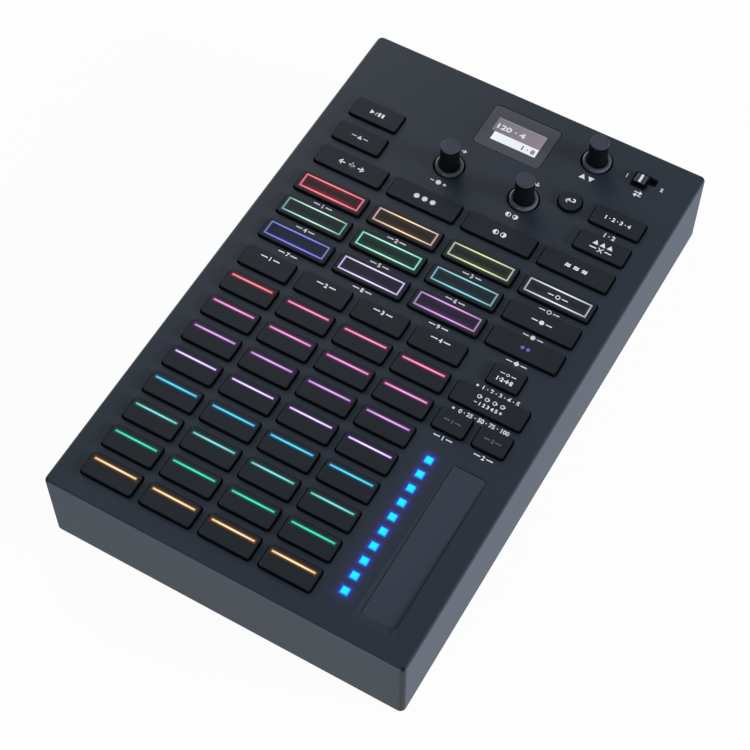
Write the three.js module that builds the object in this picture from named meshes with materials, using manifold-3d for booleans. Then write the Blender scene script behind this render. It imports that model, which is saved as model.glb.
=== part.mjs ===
// A table-top lighting controller: a flat moulded case with a field of light-up keys and pads,
// three turning knobs, a two-way slide switch, a display and a touch strip.
// Millimetres, +Z up. The origin is the centre of the footprint, on the table.
// +X points to the right of the person who uses it and +Y away from that person.

import * as THREE from "three";
import { mergeVertices } from "three/addons/utils/BufferGeometryUtils.js";
import Module from "manifold-3d";

const wasm = await Module();
wasm.setup();

// Room kept between neighbours, and how far a cutting shape runs past the face that it cuts.
const clearance = 0.3;
const overrun = 5;

// The case.
const caseWidth = 193;
const caseDepth = 315;
const caseHeight = 46.6;
const caseWall = 2.5;
const panelThickness = 2.5;
const caseCornerRadius = 3;
const caseEdgeRadius = 1.5;
const coverThickness = 1.6;
const footHeight = 2;
const footInset = 0.5;
const footWidth = 150;
const footDepth = 9;
const footMargin = 16;
const footCornerRadius = 3;

// The posts that take the cover's screws, and the slimmer bosses that hold the main board.
const postRadius = 3.5;
const postInset = 4.5;
const pilotRadius = 1.2;
const pilotDepth = 10;
const screwHeadRadius = 2.6;
const bossRadius = 2.8;
const bossRowShares = [-0.72, -0.24, 0.24, 0.72];

// The key field: its margins in the case, the gaps between its rows, and the keys themselves.
const sideMargin = 13;
const frontMargin = 12.45;
const rearMargin = 43.15;
const keyGap = 5;
const bankGap = 7;
const functionGap = 7.8;
const transportGap = 5.8;
const keyRise = 1.5;
const keyTravel = 1.2;
const keySlack = 0.7;
const keyCornerRadius = 1.3;
const keyEdgeRadius = 0.5;
const flangeReach = 1.4;
const flangeThickness = 1;
const plungerWidth = 3.2;
const plungerLength = 1.2;
const padWebDepth = 5;
const backButtonRadius = 6;

// The boards inside.
const boardDrop = 7.5;
const boardThickness = 1.6;
const boardSideGap = 1;
const boardEndGap = 1.2;
const switchWidth = 6;
const chipWidth = 12;
const chipHeight = 1.4;
const standoffHeight = 2.8;
const standoffRadius = 2.5;
const inputBoardDepth = 36;
const inputBoardSideMargin = 12;
const headerWidth = 26;
const headerDepth = 5;

// The turning knobs and their encoders.
const knobHoleRadius = 8.5;
const knobSkirtRadius = 7.5;
const knobSkirtRise = 1.6;
const knobSkirtDrop = 1.2;
const knobStemRadius = 5.2;
const knobTopRadius = 4.95;
const knobHeight = 16;
const knobEdgeRadius = 0.6;
const knobRowDrop = 1;
const shaftRadius = 3;
const shaftEngagement = 9;
const selectTravel = 0.8;
const selectRearMargin = 18.9;
const encoderWidth = 12;
const encoderHeadroom = 1;
const encoderFloor = 1;
const bushingRadius = 4.4;

// The slide switch that picks one of the two USB sockets.
const slotWidth = 13;
const slotDepth = 6;
const slotRearMargin = 17;
const leverNeckWidth = 7;
const leverNeckDepth = 5.2;
const leverFootWidth = 8.6;
const leverFootDepth = 9.1;
const leverFootThickness = 0.5;
const leverCapWidth = 6.6;
const leverCapDepth = 6.2;
const leverTopWidth = 5.9;
const leverTopDepth = 5.7;
const leverCornerRadius = 0.5;
const leverRise = 2.5;
const leverForward = 2;
const leverSideways = 0.7;
const leverTravel = 5;
const leverStemWidth = 3;
const leverStemDepth = 1.8;
const leverStemLength = 2;
const slideSwitchWidth = 16;
const slideSwitchDepth = 8;
const slideSwitchHeadroom = 2;

// The display.
const windowWidth = 38.5;
const windowDepth = 28;
const windowThickness = 1.4;
const windowRecess = 0.1;
const windowCornerRadius = 1.5;
const windowLedge = 1.6;
const windowRearMargin = 24.8;
const moduleWidth = 33;
const moduleDepth = 22;
const moduleCornerRadius = 1;

// The level lights and the touch strip beside them.
const lightCount = 10;
const lightWidth = 3.7;
const lightRise = 0.1;
const lightBarWidth = 6.5;
const lightBarHeight = 3;
const stripWidth = 16.8;
const stripThickness = 0.9;
const stripSideMargin = 14.4;
const stripEndReach = 3.3;
const stripCornerRadius = 0.8;
const stripFrontInset = 3.6;
const scoopDepth = 0.8;
const scoopReach = 2.4;
const stripBacking = 1.4;

// The sockets in the rear wall.
const usbWidth = 12;
const usbHeight = 11;
const usbLength = 16.5;
const usbShell = 1.6;
const usbDepth = 9;
const usbTongueWidth = 5.6;
const usbTongueHeight = 3.2;
const usbTongueSetback = 1.5;
const usbShares = [0.45, 0.77];
const dmxRadius = 11.8;
const dmxBodyWidth = 25;
const dmxBodyHeight = 26;
const dmxBodyLength = 17;
const dmxGrooveOuterRadius = 9.7;
const dmxGrooveInnerRadius = 7.8;
const dmxGrooveDepth = 12;
const dmxInsertSetback = 0.8;
const dmxPinRadius = 1.3;
const dmxPinCircle = 4.1;
const dmxPinDepth = 8;
const dmxShares = [-0.78, -0.34];

// Counts.
const padRowCount = 8;
const padColumnCount = 4;
const wideColumnCount = 4;
const cornerSteps = 2;
const caseEdgeSteps = 3;
const keyEdgeSteps = 1;
const knobSides = 24;
const holeSides = 24;
const rodSides = 10;
const shaftSides = 16;

// Heights that follow.
const caseBottom = footHeight;
const panelTop = caseBottom + caseHeight;
const panelUnderside = panelTop - panelThickness;
const coverTop = caseBottom + coverThickness;
const boardTop = panelUnderside - boardDrop;
const boardUnderside = boardTop - boardThickness;
const keyTop = panelTop + keyRise;
const flangeTop = panelUnderside - clearance;
const flangeUnderside = flangeTop - flangeThickness;
const plungerEnd = flangeUnderside - plungerLength;
const switchTop = plungerEnd - keyTravel - clearance;
const inputBoardTop = coverTop + standoffHeight + clearance + boardThickness;

// Places that follow. Rows are counted from the front, columns from the left.
const insideWidth = caseWidth - 2 * caseWall;
const insideDepth = caseDepth - 2 * caseWall;
const fieldWidth = caseWidth - 2 * sideMargin;
const rowGaps = [
  ...Array(padRowCount).fill(keyGap),
  bankGap,
  keyGap,
  keyGap,
  functionGap,
  transportGap,
  transportGap,
];
const rowCount = rowGaps.length + 1;
const fieldDepth = caseDepth - frontMargin - rearMargin;
const keyDepth = (fieldDepth - rowGaps.reduce((sum, gap) => sum + gap)) / rowCount;
const rowY = [-caseDepth / 2 + frontMargin + keyDepth / 2];
for (const gap of rowGaps) {
  rowY.push(rowY.at(-1) + keyDepth + gap);
}
const wideKeyWidth = (fieldWidth - (wideColumnCount - 1) * keyGap) / wideColumnCount;
const wideX = Array.from(
  { length: wideColumnCount },
  (_, column) => (wideKeyWidth - fieldWidth) / 2 + column * (wideKeyWidth + keyGap),
);
const padFieldWidth = fieldWidth - wideKeyWidth - keyGap;
const padWidth = (padFieldWidth - (padColumnCount - 1) * keyGap) / padColumnCount;
const padX = Array.from(
  { length: padColumnCount },
  (_, column) => (padWidth - fieldWidth) / 2 + column * (padWidth + keyGap),
);
const smallKeyWidth = (wideKeyWidth - keyGap) / 2;
const groupX = [-1, 1].map((side) => wideX.at(-1) + (side * (smallKeyWidth + keyGap)) / 2);
const rightEndX = (fieldWidth - padWidth) / 2;
const backX = (wideX.at(-2) + wideX.at(-1)) / 2;
const bankRow = padRowCount;
const positionRow = bankRow + 1;
const functionRow = rowCount - 3;
const shiftRow = rowCount - 2;
const playRow = rowCount - 1;
const knobY = (rowY[shiftRow] + rowY[playRow]) / 2 - knobRowDrop;
const selectY = caseDepth / 2 - selectRearMargin;
const windowY = caseDepth / 2 - windowRearMargin;
const slotY = caseDepth / 2 - slotRearMargin;
const lightPitch = (keyDepth + keyGap) / 2;
const lightX = groupX[0];
const lightY = Array.from(
  { length: lightCount },
  (_, light) => rowY[0] + keyDepth / 4 + light * lightPitch,
);
const stripX = caseWidth / 2 - stripSideMargin - stripWidth / 2;
const stripFront = rowY[0] - keyDepth / 2 + stripFrontInset;
const stripRear = lightY.at(-1) + stripEndReach;
const stripDepth = stripRear - stripFront;
const stripY = (stripRear + stripFront) / 2;
const inputBoardWidth = insideWidth - 2 * inputBoardSideMargin;
const usbX = usbShares.map((share) => (share * inputBoardWidth) / 2);
const dmxX = dmxShares.map((share) => (share * inputBoardWidth) / 2);
const usbZ = inputBoardTop + clearance + usbHeight / 2;
const dmxZ = inputBoardTop + clearance + dmxBodyHeight / 2;

// Finishes.
function finish(color, roughness, metalness = 0) {
  return () => new THREE.MeshStandardMaterial({ color, roughness, metalness });
}
const caseFinish = finish(0x31363e, 0.6);
const keyFinish = finish(0x23282c, 0.5);
const knobFinish = finish(0x17191c, 0.45);
const windowFinish = finish(0x3f434c, 0.25);
const rubberFinish = finish(0x1b1c1e, 0.9);
const boardFinish = finish(0x1f5a3a, 0.55);
const glassFinish = finish(0x0d0f12, 0.2);
const lightFinish = finish(0x2fe6ff, 0.4);
const steelFinish = finish(0xb9bcc0, 0.35, 1);
const socketFinish = finish(0x202225, 0.5);

// A three.js geometry as a solid that can be joined and cut, and back again.
function solid(geometry) {
  geometry.deleteAttribute("normal");
  geometry.deleteAttribute("uv");
  const merged = mergeVertices(geometry);
  return new wasm.Manifold(
    new wasm.Mesh({
      numProp: 3,
      vertProperties: merged.attributes.position.array,
      triVerts: new Uint32Array(merged.index.array),
    }),
  );
}

function geometryOf(made) {
  const { vertProperties, triVerts } = made.getMesh();
  const geometry = new THREE.BufferGeometry();
  geometry.setAttribute("position", new THREE.BufferAttribute(vertProperties, 3));
  geometry.setIndex(new THREE.BufferAttribute(triVerts, 1));
  const flat = geometry.toNonIndexed();
  flat.computeVertexNormals();
  return flat;
}

function join(solids) {
  return solids.reduce((all, next) => all.add(next));
}

// A rectangle with rounded corners, counter-clockwise as seen from above.
function roundedOutline(width, depth, radius) {
  const corners = [
    [1, 1],
    [-1, 1],
    [-1, -1],
    [1, -1],
  ];
  return corners.flatMap(([sideX, sideY], quarter) =>
    Array.from({ length: cornerSteps + 1 }, (_, step) => {
      const angle = ((quarter + step / cornerSteps) * Math.PI) / 2;
      return [
        sideX * (width / 2 - radius) + radius * Math.cos(angle),
        sideY * (depth / 2 - radius) + radius * Math.sin(angle),
      ];
    }),
  );
}

// A solid skinned over rounded outlines, listed from the lowest to the highest.
function stack(x, y, levels) {
  const rings = levels.map(({ width, depth, radius, z }) =>
    roundedOutline(width, depth, radius).map(([px, py]) => [px + x, py + y, z]),
  );
  const count = rings[0].length;
  const last = (rings.length - 1) * count;
  const index = [];
  for (let start = 0; start < last; start += count) {
    for (let i = 0; i < count; i++) {
      const a = start + i;
      const b = start + ((i + 1) % count);
      index.push(a, b, b + count, a, b + count, a + count);
    }
  }
  for (let i = 1; i < count - 1; i++) {
    index.push(0, i + 1, i, last, last + i, last + i + 1);
  }
  const geometry = new THREE.BufferGeometry();
  const position = new Float32Array(rings.flat(2));
  geometry.setAttribute("position", new THREE.BufferAttribute(position, 3));
  geometry.setIndex(index);
  return solid(geometry);
}

// A rounded prism between two heights.
function prism(x, y, width, depth, radius, low, high) {
  return stack(x, y, [
    { width, depth, radius, z: low },
    { width, depth, radius, z: high },
  ]);
}

// Levels for a rounded prism whose top edge is rounded too.
function softTopLevels(width, depth, radius, low, high, edgeRadius, edgeSteps) {
  const levels = [{ width, depth, radius, z: low }];
  for (let step = 0; step <= edgeSteps; step++) {
    const angle = ((step / edgeSteps) * Math.PI) / 2;
    const inset = edgeRadius * (1 - Math.cos(angle));
    levels.push({
      width: width - 2 * inset,
      depth: depth - 2 * inset,
      radius: radius - inset,
      z: high - edgeRadius * (1 - Math.sin(angle)),
    });
  }
  return levels;
}

// A box by its middle and size across, and its low and high faces.
function block(x, y, width, depth, low, high) {
  const geometry = new THREE.BoxGeometry(width, depth, high - low);
  return solid(geometry.translate(x, y, (low + high) / 2));
}

// An upright rod.
function rod(x, y, radius, low, high, sides = rodSides) {
  const geometry = new THREE.CylinderGeometry(radius, radius, high - low, sides);
  return solid(geometry.rotateX(Math.PI / 2).translate(x, y, (low + high) / 2));
}

// A rod that lies along Y, for the sockets in the rear wall.
function rearRod(x, z, radius, front, rear, sides) {
  const geometry = new THREE.CylinderGeometry(radius, radius, rear - front, sides);
  return solid(geometry.translate(x, (front + rear) / 2, z));
}

// A turned solid from a profile of [radius, height], listed from the bottom up.
function turned(x, y, profile) {
  const points = profile.map(([radius, height]) => new THREE.Vector2(radius, height));
  const geometry = new THREE.LatheGeometry(points, knobSides);
  return solid(geometry.rotateX(Math.PI / 2).translate(x, y, 0));
}

const controller = new THREE.Group();

function addPart(name, made, material) {
  const mesh = new THREE.Mesh(geometryOf(made), material());
  mesh.name = name;
  controller.add(mesh);
}

// Keys: each has its name, row, middle and width. The pads follow in rows of their own.
const keys = [
  ...padX.map((x, i) => ({ name: `bank_key_${i + 1}`, row: bankRow, x, width: padWidth })),
  { name: "auto_loop_key", row: bankRow, x: wideX.at(-1), width: smallKeyWidth },
  { name: "intensity_key", row: bankRow - 1, x: wideX.at(-1), width: wideKeyWidth },
  { name: "group_key_left", row: bankRow - 2, x: groupX[0], width: smallKeyWidth },
  { name: "group_key_right", row: bankRow - 2, x: groupX[1], width: smallKeyWidth },
  ...Array.from({ length: 9 }, (_, i) => ({
    name: `position_key_${i + 1}`,
    row: positionRow + 2 - Math.floor(i / 3),
    x: wideX[i % 3],
    width: wideKeyWidth,
  })),
  ...["violet_key", "black_key", "white_key"].map((name, i) => ({
    name,
    row: positionRow + i,
    x: wideX.at(-1),
    width: wideKeyWidth,
  })),
  ...["movement_key", "strobe_key", "hue_key", "smoke_key"].map((name, i) => ({
    name,
    row: functionRow,
    x: wideX[i],
    width: wideKeyWidth,
  })),
  { name: "shift_key", row: shiftRow, x: -rightEndX, width: padWidth },
  { name: "override_key", row: shiftRow, x: rightEndX, width: padWidth },
  { name: "play_key", row: playRow, x: -rightEndX, width: padWidth },
  { name: "tempo_key", row: playRow, x: rightEndX, width: padWidth },
];
const pads = Array.from({ length: padRowCount }, (_, row) =>
  padX.map((x) => ({ row, x, width: padWidth })),
);
const backButton = { x: backX, y: rowY[playRow] };

const knobs = [
  { name: "speed", x: wideX[1], y: knobY },
  { name: "color", x: wideX[2], y: knobY },
  { name: "select", x: backX, y: selectY },
];

// The cap of a key with its lip, which stops it under the panel, and its plunger.
function keyCap({ row, x, width }) {
  const cap = softTopLevels(
    width,
    keyDepth,
    keyCornerRadius,
    flangeUnderside,
    keyTop,
    keyEdgeRadius,
    keyEdgeSteps,
  );
  return join([
    stack(x, rowY[row], cap),
    block(
      x,
      rowY[row],
      width + 2 * flangeReach,
      keyDepth + 2 * flangeReach,
      flangeUnderside,
      flangeTop,
    ),
    block(x, rowY[row], plungerWidth, plungerWidth, plungerEnd, flangeTop),
  ]);
}

function buildKeys() {
  for (const key of keys) {
    addPart(key.name, keyCap(key), keyFinish);
  }
}

// Four pads in a row are one moulding: thin webs under the panel join their lips.
function buildPadRows() {
  const webInset = flangeThickness / 4;
  pads.forEach((rowPads, row) => {
    const webs = padX
      .slice(1)
      .map((x) =>
        block(
          x - (padWidth + keyGap) / 2,
          rowY[row],
          keyGap,
          padWebDepth,
          flangeUnderside + webInset,
          flangeTop - webInset,
        ),
      );
    addPart(`pad_row_${row + 1}`, join([...rowPads.map(keyCap), ...webs]), keyFinish);
  });
}

function buildBackButton() {
  const { x, y } = backButton;
  const button = turned(x, y, [
    [0, flangeUnderside],
    [backButtonRadius + flangeReach, flangeUnderside],
    [backButtonRadius + flangeReach, flangeTop],
    [backButtonRadius, flangeTop],
    [backButtonRadius, keyTop - keyEdgeRadius],
    [backButtonRadius - keyEdgeRadius, keyTop],
    [0, keyTop],
  ]);
  const plunger = block(x, y, plungerWidth, plungerWidth, plungerEnd, flangeTop);
  addPart("back_button", button.add(plunger), keyFinish);
}

// Knobs: a rounded skirt in the panel's hole and a tapered grip above it.
const encoderTop = panelUnderside - encoderHeadroom;
const knobUnderside = panelTop - knobSkirtDrop;
const knobTop = panelTop + knobHeight;
const bushingTop = knobUnderside - selectTravel - clearance;
const shaftEnd = boardTop + encoderFloor + selectTravel + clearance;
const shaftTop = knobUnderside + shaftEngagement;

function knobOutside() {
  const skirtRound = knobSkirtRadius - knobStemRadius;
  const skirtTop = panelTop + knobSkirtRise;
  return [
    [knobSkirtRadius, knobUnderside],
    [knobSkirtRadius, skirtTop - skirtRound * Math.cos(Math.PI / 6)],
    [knobSkirtRadius - skirtRound * (1 - Math.cos(Math.PI / 4)), skirtTop - skirtRound / 4],
    [knobSkirtRadius - skirtRound / 2, skirtTop],
    [knobStemRadius, skirtTop - skirtRound / 4],
    [knobTopRadius, knobTop - knobEdgeRadius],
    [knobTopRadius - knobEdgeRadius, knobTop],
    [0, knobTop],
  ];
}

function buildKnobs() {
  for (const { name, x, y } of knobs) {
    if (name === "select") {
      const bore = rod(
        x,
        y,
        shaftRadius + clearance,
        knobUnderside - overrun,
        shaftTop + clearance,
        shaftSides,
      );
      const grip = turned(x, y, [[0, knobUnderside], ...knobOutside()]);
      addPart("select_knob", grip.subtract(bore), knobFinish);
      addPart("select_shaft", rod(x, y, shaftRadius, shaftEnd, shaftTop, shaftSides), steelFinish);
    } else {
      const grip = turned(x, y, [
        [0, shaftEnd],
        [shaftRadius, shaftEnd],
        [shaftRadius, knobUnderside],
        ...knobOutside(),
      ]);
      addPart(`${name}_knob`, grip, knobFinish);
    }
  }
}

function buildEncoders() {
  for (const { name, x, y } of knobs) {
    const body = block(x, y, encoderWidth, encoderWidth, boardTop + clearance, encoderTop);
    const bushing = rod(x, y, bushingRadius, boardTop + clearance, bushingTop, shaftSides);
    const bore = rod(
      x,
      y,
      shaftRadius + clearance,
      boardTop + encoderFloor,
      bushingTop + overrun,
      shaftSides,
    );
    addPart(`${name}_encoder`, join([body, bushing]).subtract(bore), steelFinish);
  }
}

// The slide switch: its body stands on the board, and its lever comes up through the slot.
// The lever's neck stands in the slot, and its foot lies over the panel with the cap on it.
const slideSwitchTop = panelUnderside - slideSwitchHeadroom;
const leverX = rightEndX - leverTravel / 2;

function buildSlideSwitch() {
  const cavityWidth = leverStemWidth + leverTravel + 2 * clearance;
  const cavityDepth = leverStemDepth + 2 * clearance;
  const stemEnd = slideSwitchTop - leverStemLength;
  const body = block(
    rightEndX,
    slotY,
    slideSwitchWidth,
    slideSwitchDepth,
    boardTop + clearance,
    slideSwitchTop,
  );
  const cavity = block(
    rightEndX,
    slotY,
    cavityWidth,
    cavityDepth,
    stemEnd - clearance,
    slideSwitchTop + overrun,
  );
  addPart("usb_select_switch", body.subtract(cavity), steelFinish);
  const neckEnd = slideSwitchTop + clearance;
  const footEnd = panelTop + clearance;
  const stem = block(leverX, slotY, leverStemWidth, leverStemDepth, stemEnd, neckEnd + clearance);
  const footTop = footEnd + leverFootThickness;
  const neck = block(
    leverX,
    slotY,
    leverNeckWidth,
    leverNeckDepth,
    neckEnd,
    (footEnd + footTop) / 2,
  );
  const capX = leverX + leverSideways;
  const capY = slotY - leverForward;
  const radius = leverCornerRadius;
  const foot = prism(capX, capY, leverFootWidth, leverFootDepth, radius, footEnd, footTop);
  const cap = stack(capX, capY, [
    { width: leverCapWidth, depth: leverCapDepth, radius, z: (footEnd + footTop) / 2 },
    { width: leverTopWidth, depth: leverTopDepth, radius, z: panelTop + leverRise },
  ]);
  addPart("usb_switch_lever", join([stem, neck, foot, cap]), knobFinish);
}

// The display: a dark window on a ledge of the panel, and the lit module that stands under it.
const windowTop = panelTop - windowRecess;
const windowUnderside = windowTop - windowThickness;

function buildDisplay() {
  addPart(
    "display_window",
    prism(
      0,
      windowY,
      windowWidth,
      windowDepth,
      windowCornerRadius,
      windowUnderside,
      windowTop,
    ),
    windowFinish,
  );
  addPart(
    "display_module",
    prism(
      0,
      windowY,
      moduleWidth,
      moduleDepth,
      moduleCornerRadius,
      boardTop + clearance,
      windowUnderside - clearance,
    ),
    glassFinish,
  );
}

// The level lights: square light guides on one bar, each in its own hole of the panel.
function buildLevelLights() {
  const barTop = panelUnderside - clearance;
  const barY = (lightY[0] + lightY.at(-1)) / 2;
  const barDepth = lightY.at(-1) - lightY[0] + lightBarWidth;
  const bar = block(lightX, barY, lightBarWidth, barDepth, barTop - lightBarHeight, barTop);
  const guides = lightY.map((y) =>
    block(lightX, y, lightWidth, lightWidth, barTop - lightBarHeight, panelTop + lightRise),
  );
  addPart("level_light_bar", join([bar, ...guides]), lightFinish);
}

// The touch strip: a thin plate let into the floor of a shallow scoop in the panel.
const scoopFloor = panelTop - scoopDepth;

function buildTouchStrip() {
  const high = scoopFloor;
  addPart(
    "touch_strip",
    prism(stripX, stripY, stripWidth, stripDepth, stripCornerRadius, high - stripThickness, high),
    windowFinish,
  );
}

// The upper case: walls and panel in one moulding, with every opening cut through it.
const postX = insideWidth / 2 - postInset;
const postY = insideDepth / 2 - postInset;
const postPlaces = [-1, 1].flatMap((side) => [
  [-postX, side * postY],
  [0, side * postY],
  [postX, side * postY],
]);
const bossPlaces = bossRowShares.flatMap((share) => [
  [-postX, share * postY],
  [postX, share * postY],
]);

function panelCutters() {
  const low = panelUnderside - overrun;
  const high = panelTop + overrun;
  const keyCutters = [...keys, ...pads.flat()].map(({ row, x, width }) =>
    prism(
      x,
      rowY[row],
      width + 2 * keySlack,
      keyDepth + 2 * keySlack,
      keyCornerRadius + keySlack,
      low,
      high,
    ),
  );
  const knobCutters = knobs.map(({ x, y }) => rod(x, y, knobHoleRadius, low, high, holeSides));
  const lightCutters = lightY.map((y) =>
    block(lightX, y, lightWidth + 2 * clearance, lightWidth + 2 * clearance, low, high),
  );
  return [
    ...keyCutters,
    ...knobCutters,
    ...lightCutters,
    rod(backButton.x, backButton.y, backButtonRadius + keySlack, low, high, holeSides),
    block(rightEndX, slotY, slotWidth, slotDepth, low, high),
  ];
}

function windowCutters() {
  const seat = windowUnderside - clearance;
  const through = prism(
    0,
    windowY,
    windowWidth - 2 * windowLedge,
    windowDepth - 2 * windowLedge,
    windowCornerRadius,
    panelUnderside - overrun,
    panelTop + overrun,
  );
  const recess = prism(
    0,
    windowY,
    windowWidth + 2 * clearance,
    windowDepth + 2 * clearance,
    windowCornerRadius + clearance,
    seat,
    panelTop + overrun,
  );
  return [through, recess];
}

function stripCutters() {
  const seat = scoopFloor - stripThickness - clearance;
  const slope = scoopReach / scoopDepth;
  const high = panelTop + overrun;
  const spread = 2 * (high - scoopFloor) * slope;
  const scoop = stack(stripX, stripY, [
    {
      width: stripWidth + 2 * clearance,
      depth: stripDepth + 2 * clearance,
      radius: stripCornerRadius + clearance,
      z: scoopFloor,
    },
    {
      width: stripWidth + 2 * clearance + spread,
      depth: stripDepth + 2 * clearance + spread,
      radius: stripCornerRadius + clearance,
      z: high,
    },
  ]);
  const recess = prism(
    stripX,
    stripY,
    stripWidth + 2 * clearance,
    stripDepth + 2 * clearance,
    stripCornerRadius + clearance,
    seat,
    panelTop,
  );
  return [scoop, recess];
}

function rearWallCutters() {
  const front = insideDepth / 2 - overrun;
  const rear = caseDepth / 2 + overrun;
  const usb = usbX.map((x) =>
    block(
      x,
      (front + rear) / 2,
      usbWidth + 2 * clearance,
      rear - front,
      usbZ - usbHeight / 2 - clearance,
      usbZ + usbHeight / 2 + clearance,
    ),
  );
  const dmx = dmxX.map((x) =>
    rearRod(x, dmxZ, dmxRadius + clearance, front, rear, holeSides),
  );
  return [...usb, ...dmx];
}

function buildTopCase() {
  const outside = softTopLevels(
    caseWidth,
    caseDepth,
    caseCornerRadius,
    caseBottom,
    panelTop,
    caseEdgeRadius,
    caseEdgeSteps,
  );
  const inside = block(
    0,
    0,
    insideWidth,
    insideDepth,
    caseBottom - overrun,
    panelUnderside,
  );
  const posts = postPlaces.map(([x, y]) =>
    rod(x, y, postRadius, coverTop + clearance, panelUnderside + clearance),
  );
  const bosses = bossPlaces.map(([x, y]) =>
    rod(x, y, bossRadius, boardTop + clearance, panelUnderside + clearance),
  );
  const pilots = postPlaces.map(([x, y]) =>
    rod(x, y, pilotRadius, coverTop - overrun, coverTop + pilotDepth),
  );
  const backing = block(
    stripX,
    stripY,
    stripWidth + 2 * stripBacking,
    stripDepth + 2 * stripBacking,
    panelUnderside - stripBacking,
    panelUnderside + clearance,
  );
  const shell = join([stack(0, 0, outside).subtract(inside), ...posts, ...bosses, backing]);
  const cutters = [
    ...panelCutters(),
    ...windowCutters(),
    ...stripCutters(),
    ...rearWallCutters(),
    ...pilots,
  ];
  addPart("top_case", shell.subtract(join(cutters)), caseFinish);
}

// The cover below, its feet and the standoffs for the socket board.
const footY = caseDepth / 2 - footMargin;
const inputBoardRear = postY - postRadius - boardEndGap;
const inputBoardY = inputBoardRear - inputBoardDepth / 2;

function buildBottomCover() {
  const plate = block(
    0,
    0,
    insideWidth - 2 * clearance,
    insideDepth - 2 * clearance,
    caseBottom,
    coverTop,
  );
  const standoffs = [-1, 1].flatMap((sideX) =>
    [-1, 1].map((sideY) =>
      rod(
        sideX * (inputBoardWidth / 2 - 2 * standoffRadius),
        inputBoardY + sideY * (inputBoardDepth / 2 - 2 * standoffRadius),
        standoffRadius,
        coverTop - clearance,
        coverTop + standoffHeight,
      ),
    ),
  );
  const screwHoles = postPlaces.flatMap(([x, y]) => [
    rod(x, y, pilotRadius + clearance, caseBottom - overrun, coverTop + overrun),
    rod(x, y, screwHeadRadius, caseBottom - overrun, caseBottom + coverThickness / 2),
  ]);
  const footSeats = [-1, 1].map((side) =>
    prism(
      0,
      side * footY,
      footWidth + 2 * clearance,
      footDepth + 2 * clearance,
      footCornerRadius + clearance,
      caseBottom - overrun,
      caseBottom + footInset,
    ),
  );
  const cover = join([plate, ...standoffs]).subtract(join([...screwHoles, ...footSeats]));
  addPart("bottom_cover", cover, caseFinish);
}

function buildFeet() {
  const names = ["front_foot_strip", "rear_foot_strip"];
  names.forEach((name, i) => {
    const side = 2 * i - 1;
    const high = caseBottom + footInset - clearance;
    addPart(
      name,
      prism(0, side * footY, footWidth, footDepth, footCornerRadius, 0, high),
      rubberFinish,
    );
  });
}

// The main board, with a push switch under the plunger of every key.
function buildMainBoard() {
  const boardDepth = 2 * (postY - postRadius - boardEndGap);
  const plate = block(0, 0, insideWidth - 2 * boardSideGap, boardDepth, boardUnderside, boardTop);
  const switchPlaces = [...keys, ...pads.flat()].map(({ row, x }) => [x, rowY[row]]);
  switchPlaces.push([backButton.x, backButton.y]);
  const switches = switchPlaces.map(([x, y]) =>
    block(x, y, switchWidth, switchWidth, boardUnderside, switchTop),
  );
  const chips = [-1, 1].map((side) =>
    block(side * chipWidth, 0, chipWidth, chipWidth, boardUnderside - chipHeight, boardTop),
  );
  addPart("main_board", join([plate, ...switches, ...chips]), boardFinish);
}

// The socket board, with the upright connector that reaches the main board.
function buildInputBoard() {
  const plate = block(
    0,
    inputBoardY,
    inputBoardWidth,
    inputBoardDepth,
    inputBoardTop - boardThickness,
    inputBoardTop,
  );
  const header = block(
    0,
    inputBoardY,
    headerWidth,
    headerDepth,
    inputBoardTop - boardThickness,
    boardUnderside - clearance,
  );
  addPart("input_board", plate.add(header), boardFinish);
}

// The two USB sockets, each a steel shell round a tongue.
function buildUsbSockets() {
  const rear = caseDepth / 2;
  const middle = rear - usbLength / 2;
  usbX.forEach((x, i) => {
    const low = usbZ - usbHeight / 2;
    const high = usbZ + usbHeight / 2;
    const body = block(x, middle, usbWidth, usbLength, low, high);
    const mouth = block(
      x,
      rear - usbDepth + (usbDepth + overrun) / 2,
      usbWidth - 2 * usbShell,
      usbDepth + overrun,
      low + usbShell,
      high - usbShell,
    );
    const tongueLength = usbDepth - usbTongueSetback + usbShell;
    const tongue = block(
      x,
      rear - usbTongueSetback - tongueLength / 2,
      usbTongueWidth,
      tongueLength,
      usbZ - usbTongueHeight / 2,
      usbZ + usbTongueHeight / 2,
    );
    addPart(`usb_socket_${i + 1}`, body.subtract(mouth).add(tongue), steelFinish);
  });
}

// The two three-pin DMX sockets, each a round snout with a groove for the plug's shell.
function buildDmxSockets() {
  const rear = caseDepth / 2;
  const wallInside = insideDepth / 2 - clearance;
  dmxX.forEach((x, i) => {
    const body = block(
      x,
      wallInside - dmxBodyLength / 2,
      dmxBodyWidth,
      dmxBodyLength,
      dmxZ - dmxBodyHeight / 2,
      dmxZ + dmxBodyHeight / 2,
    );
    const snout = rearRod(x, dmxZ, dmxRadius, wallInside - overrun, rear, holeSides);
    const front = rear - dmxGrooveDepth;
    const past = rear + overrun;
    const groove = rearRod(x, dmxZ, dmxGrooveOuterRadius, front, past, holeSides);
    const insert = rearRod(
      x,
      dmxZ,
      dmxGrooveInnerRadius,
      front - clearance,
      rear - dmxInsertSetback,
      holeSides,
    );
    const pinAngles = [1, 5, 9].map((share) => (share * Math.PI) / 6);
    const pins = pinAngles.map((angle) =>
      rearRod(
        x + dmxPinCircle * Math.cos(angle),
        dmxZ + dmxPinCircle * Math.sin(angle),
        dmxPinRadius,
        rear - dmxPinDepth,
        past,
        rodSides,
      ),
    );
    const socket = join([body, snout]).subtract(groove).add(insert).subtract(join(pins));
    addPart(`dmx_socket_${i + 1}`, socket, socketFinish);
  });
}

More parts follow.
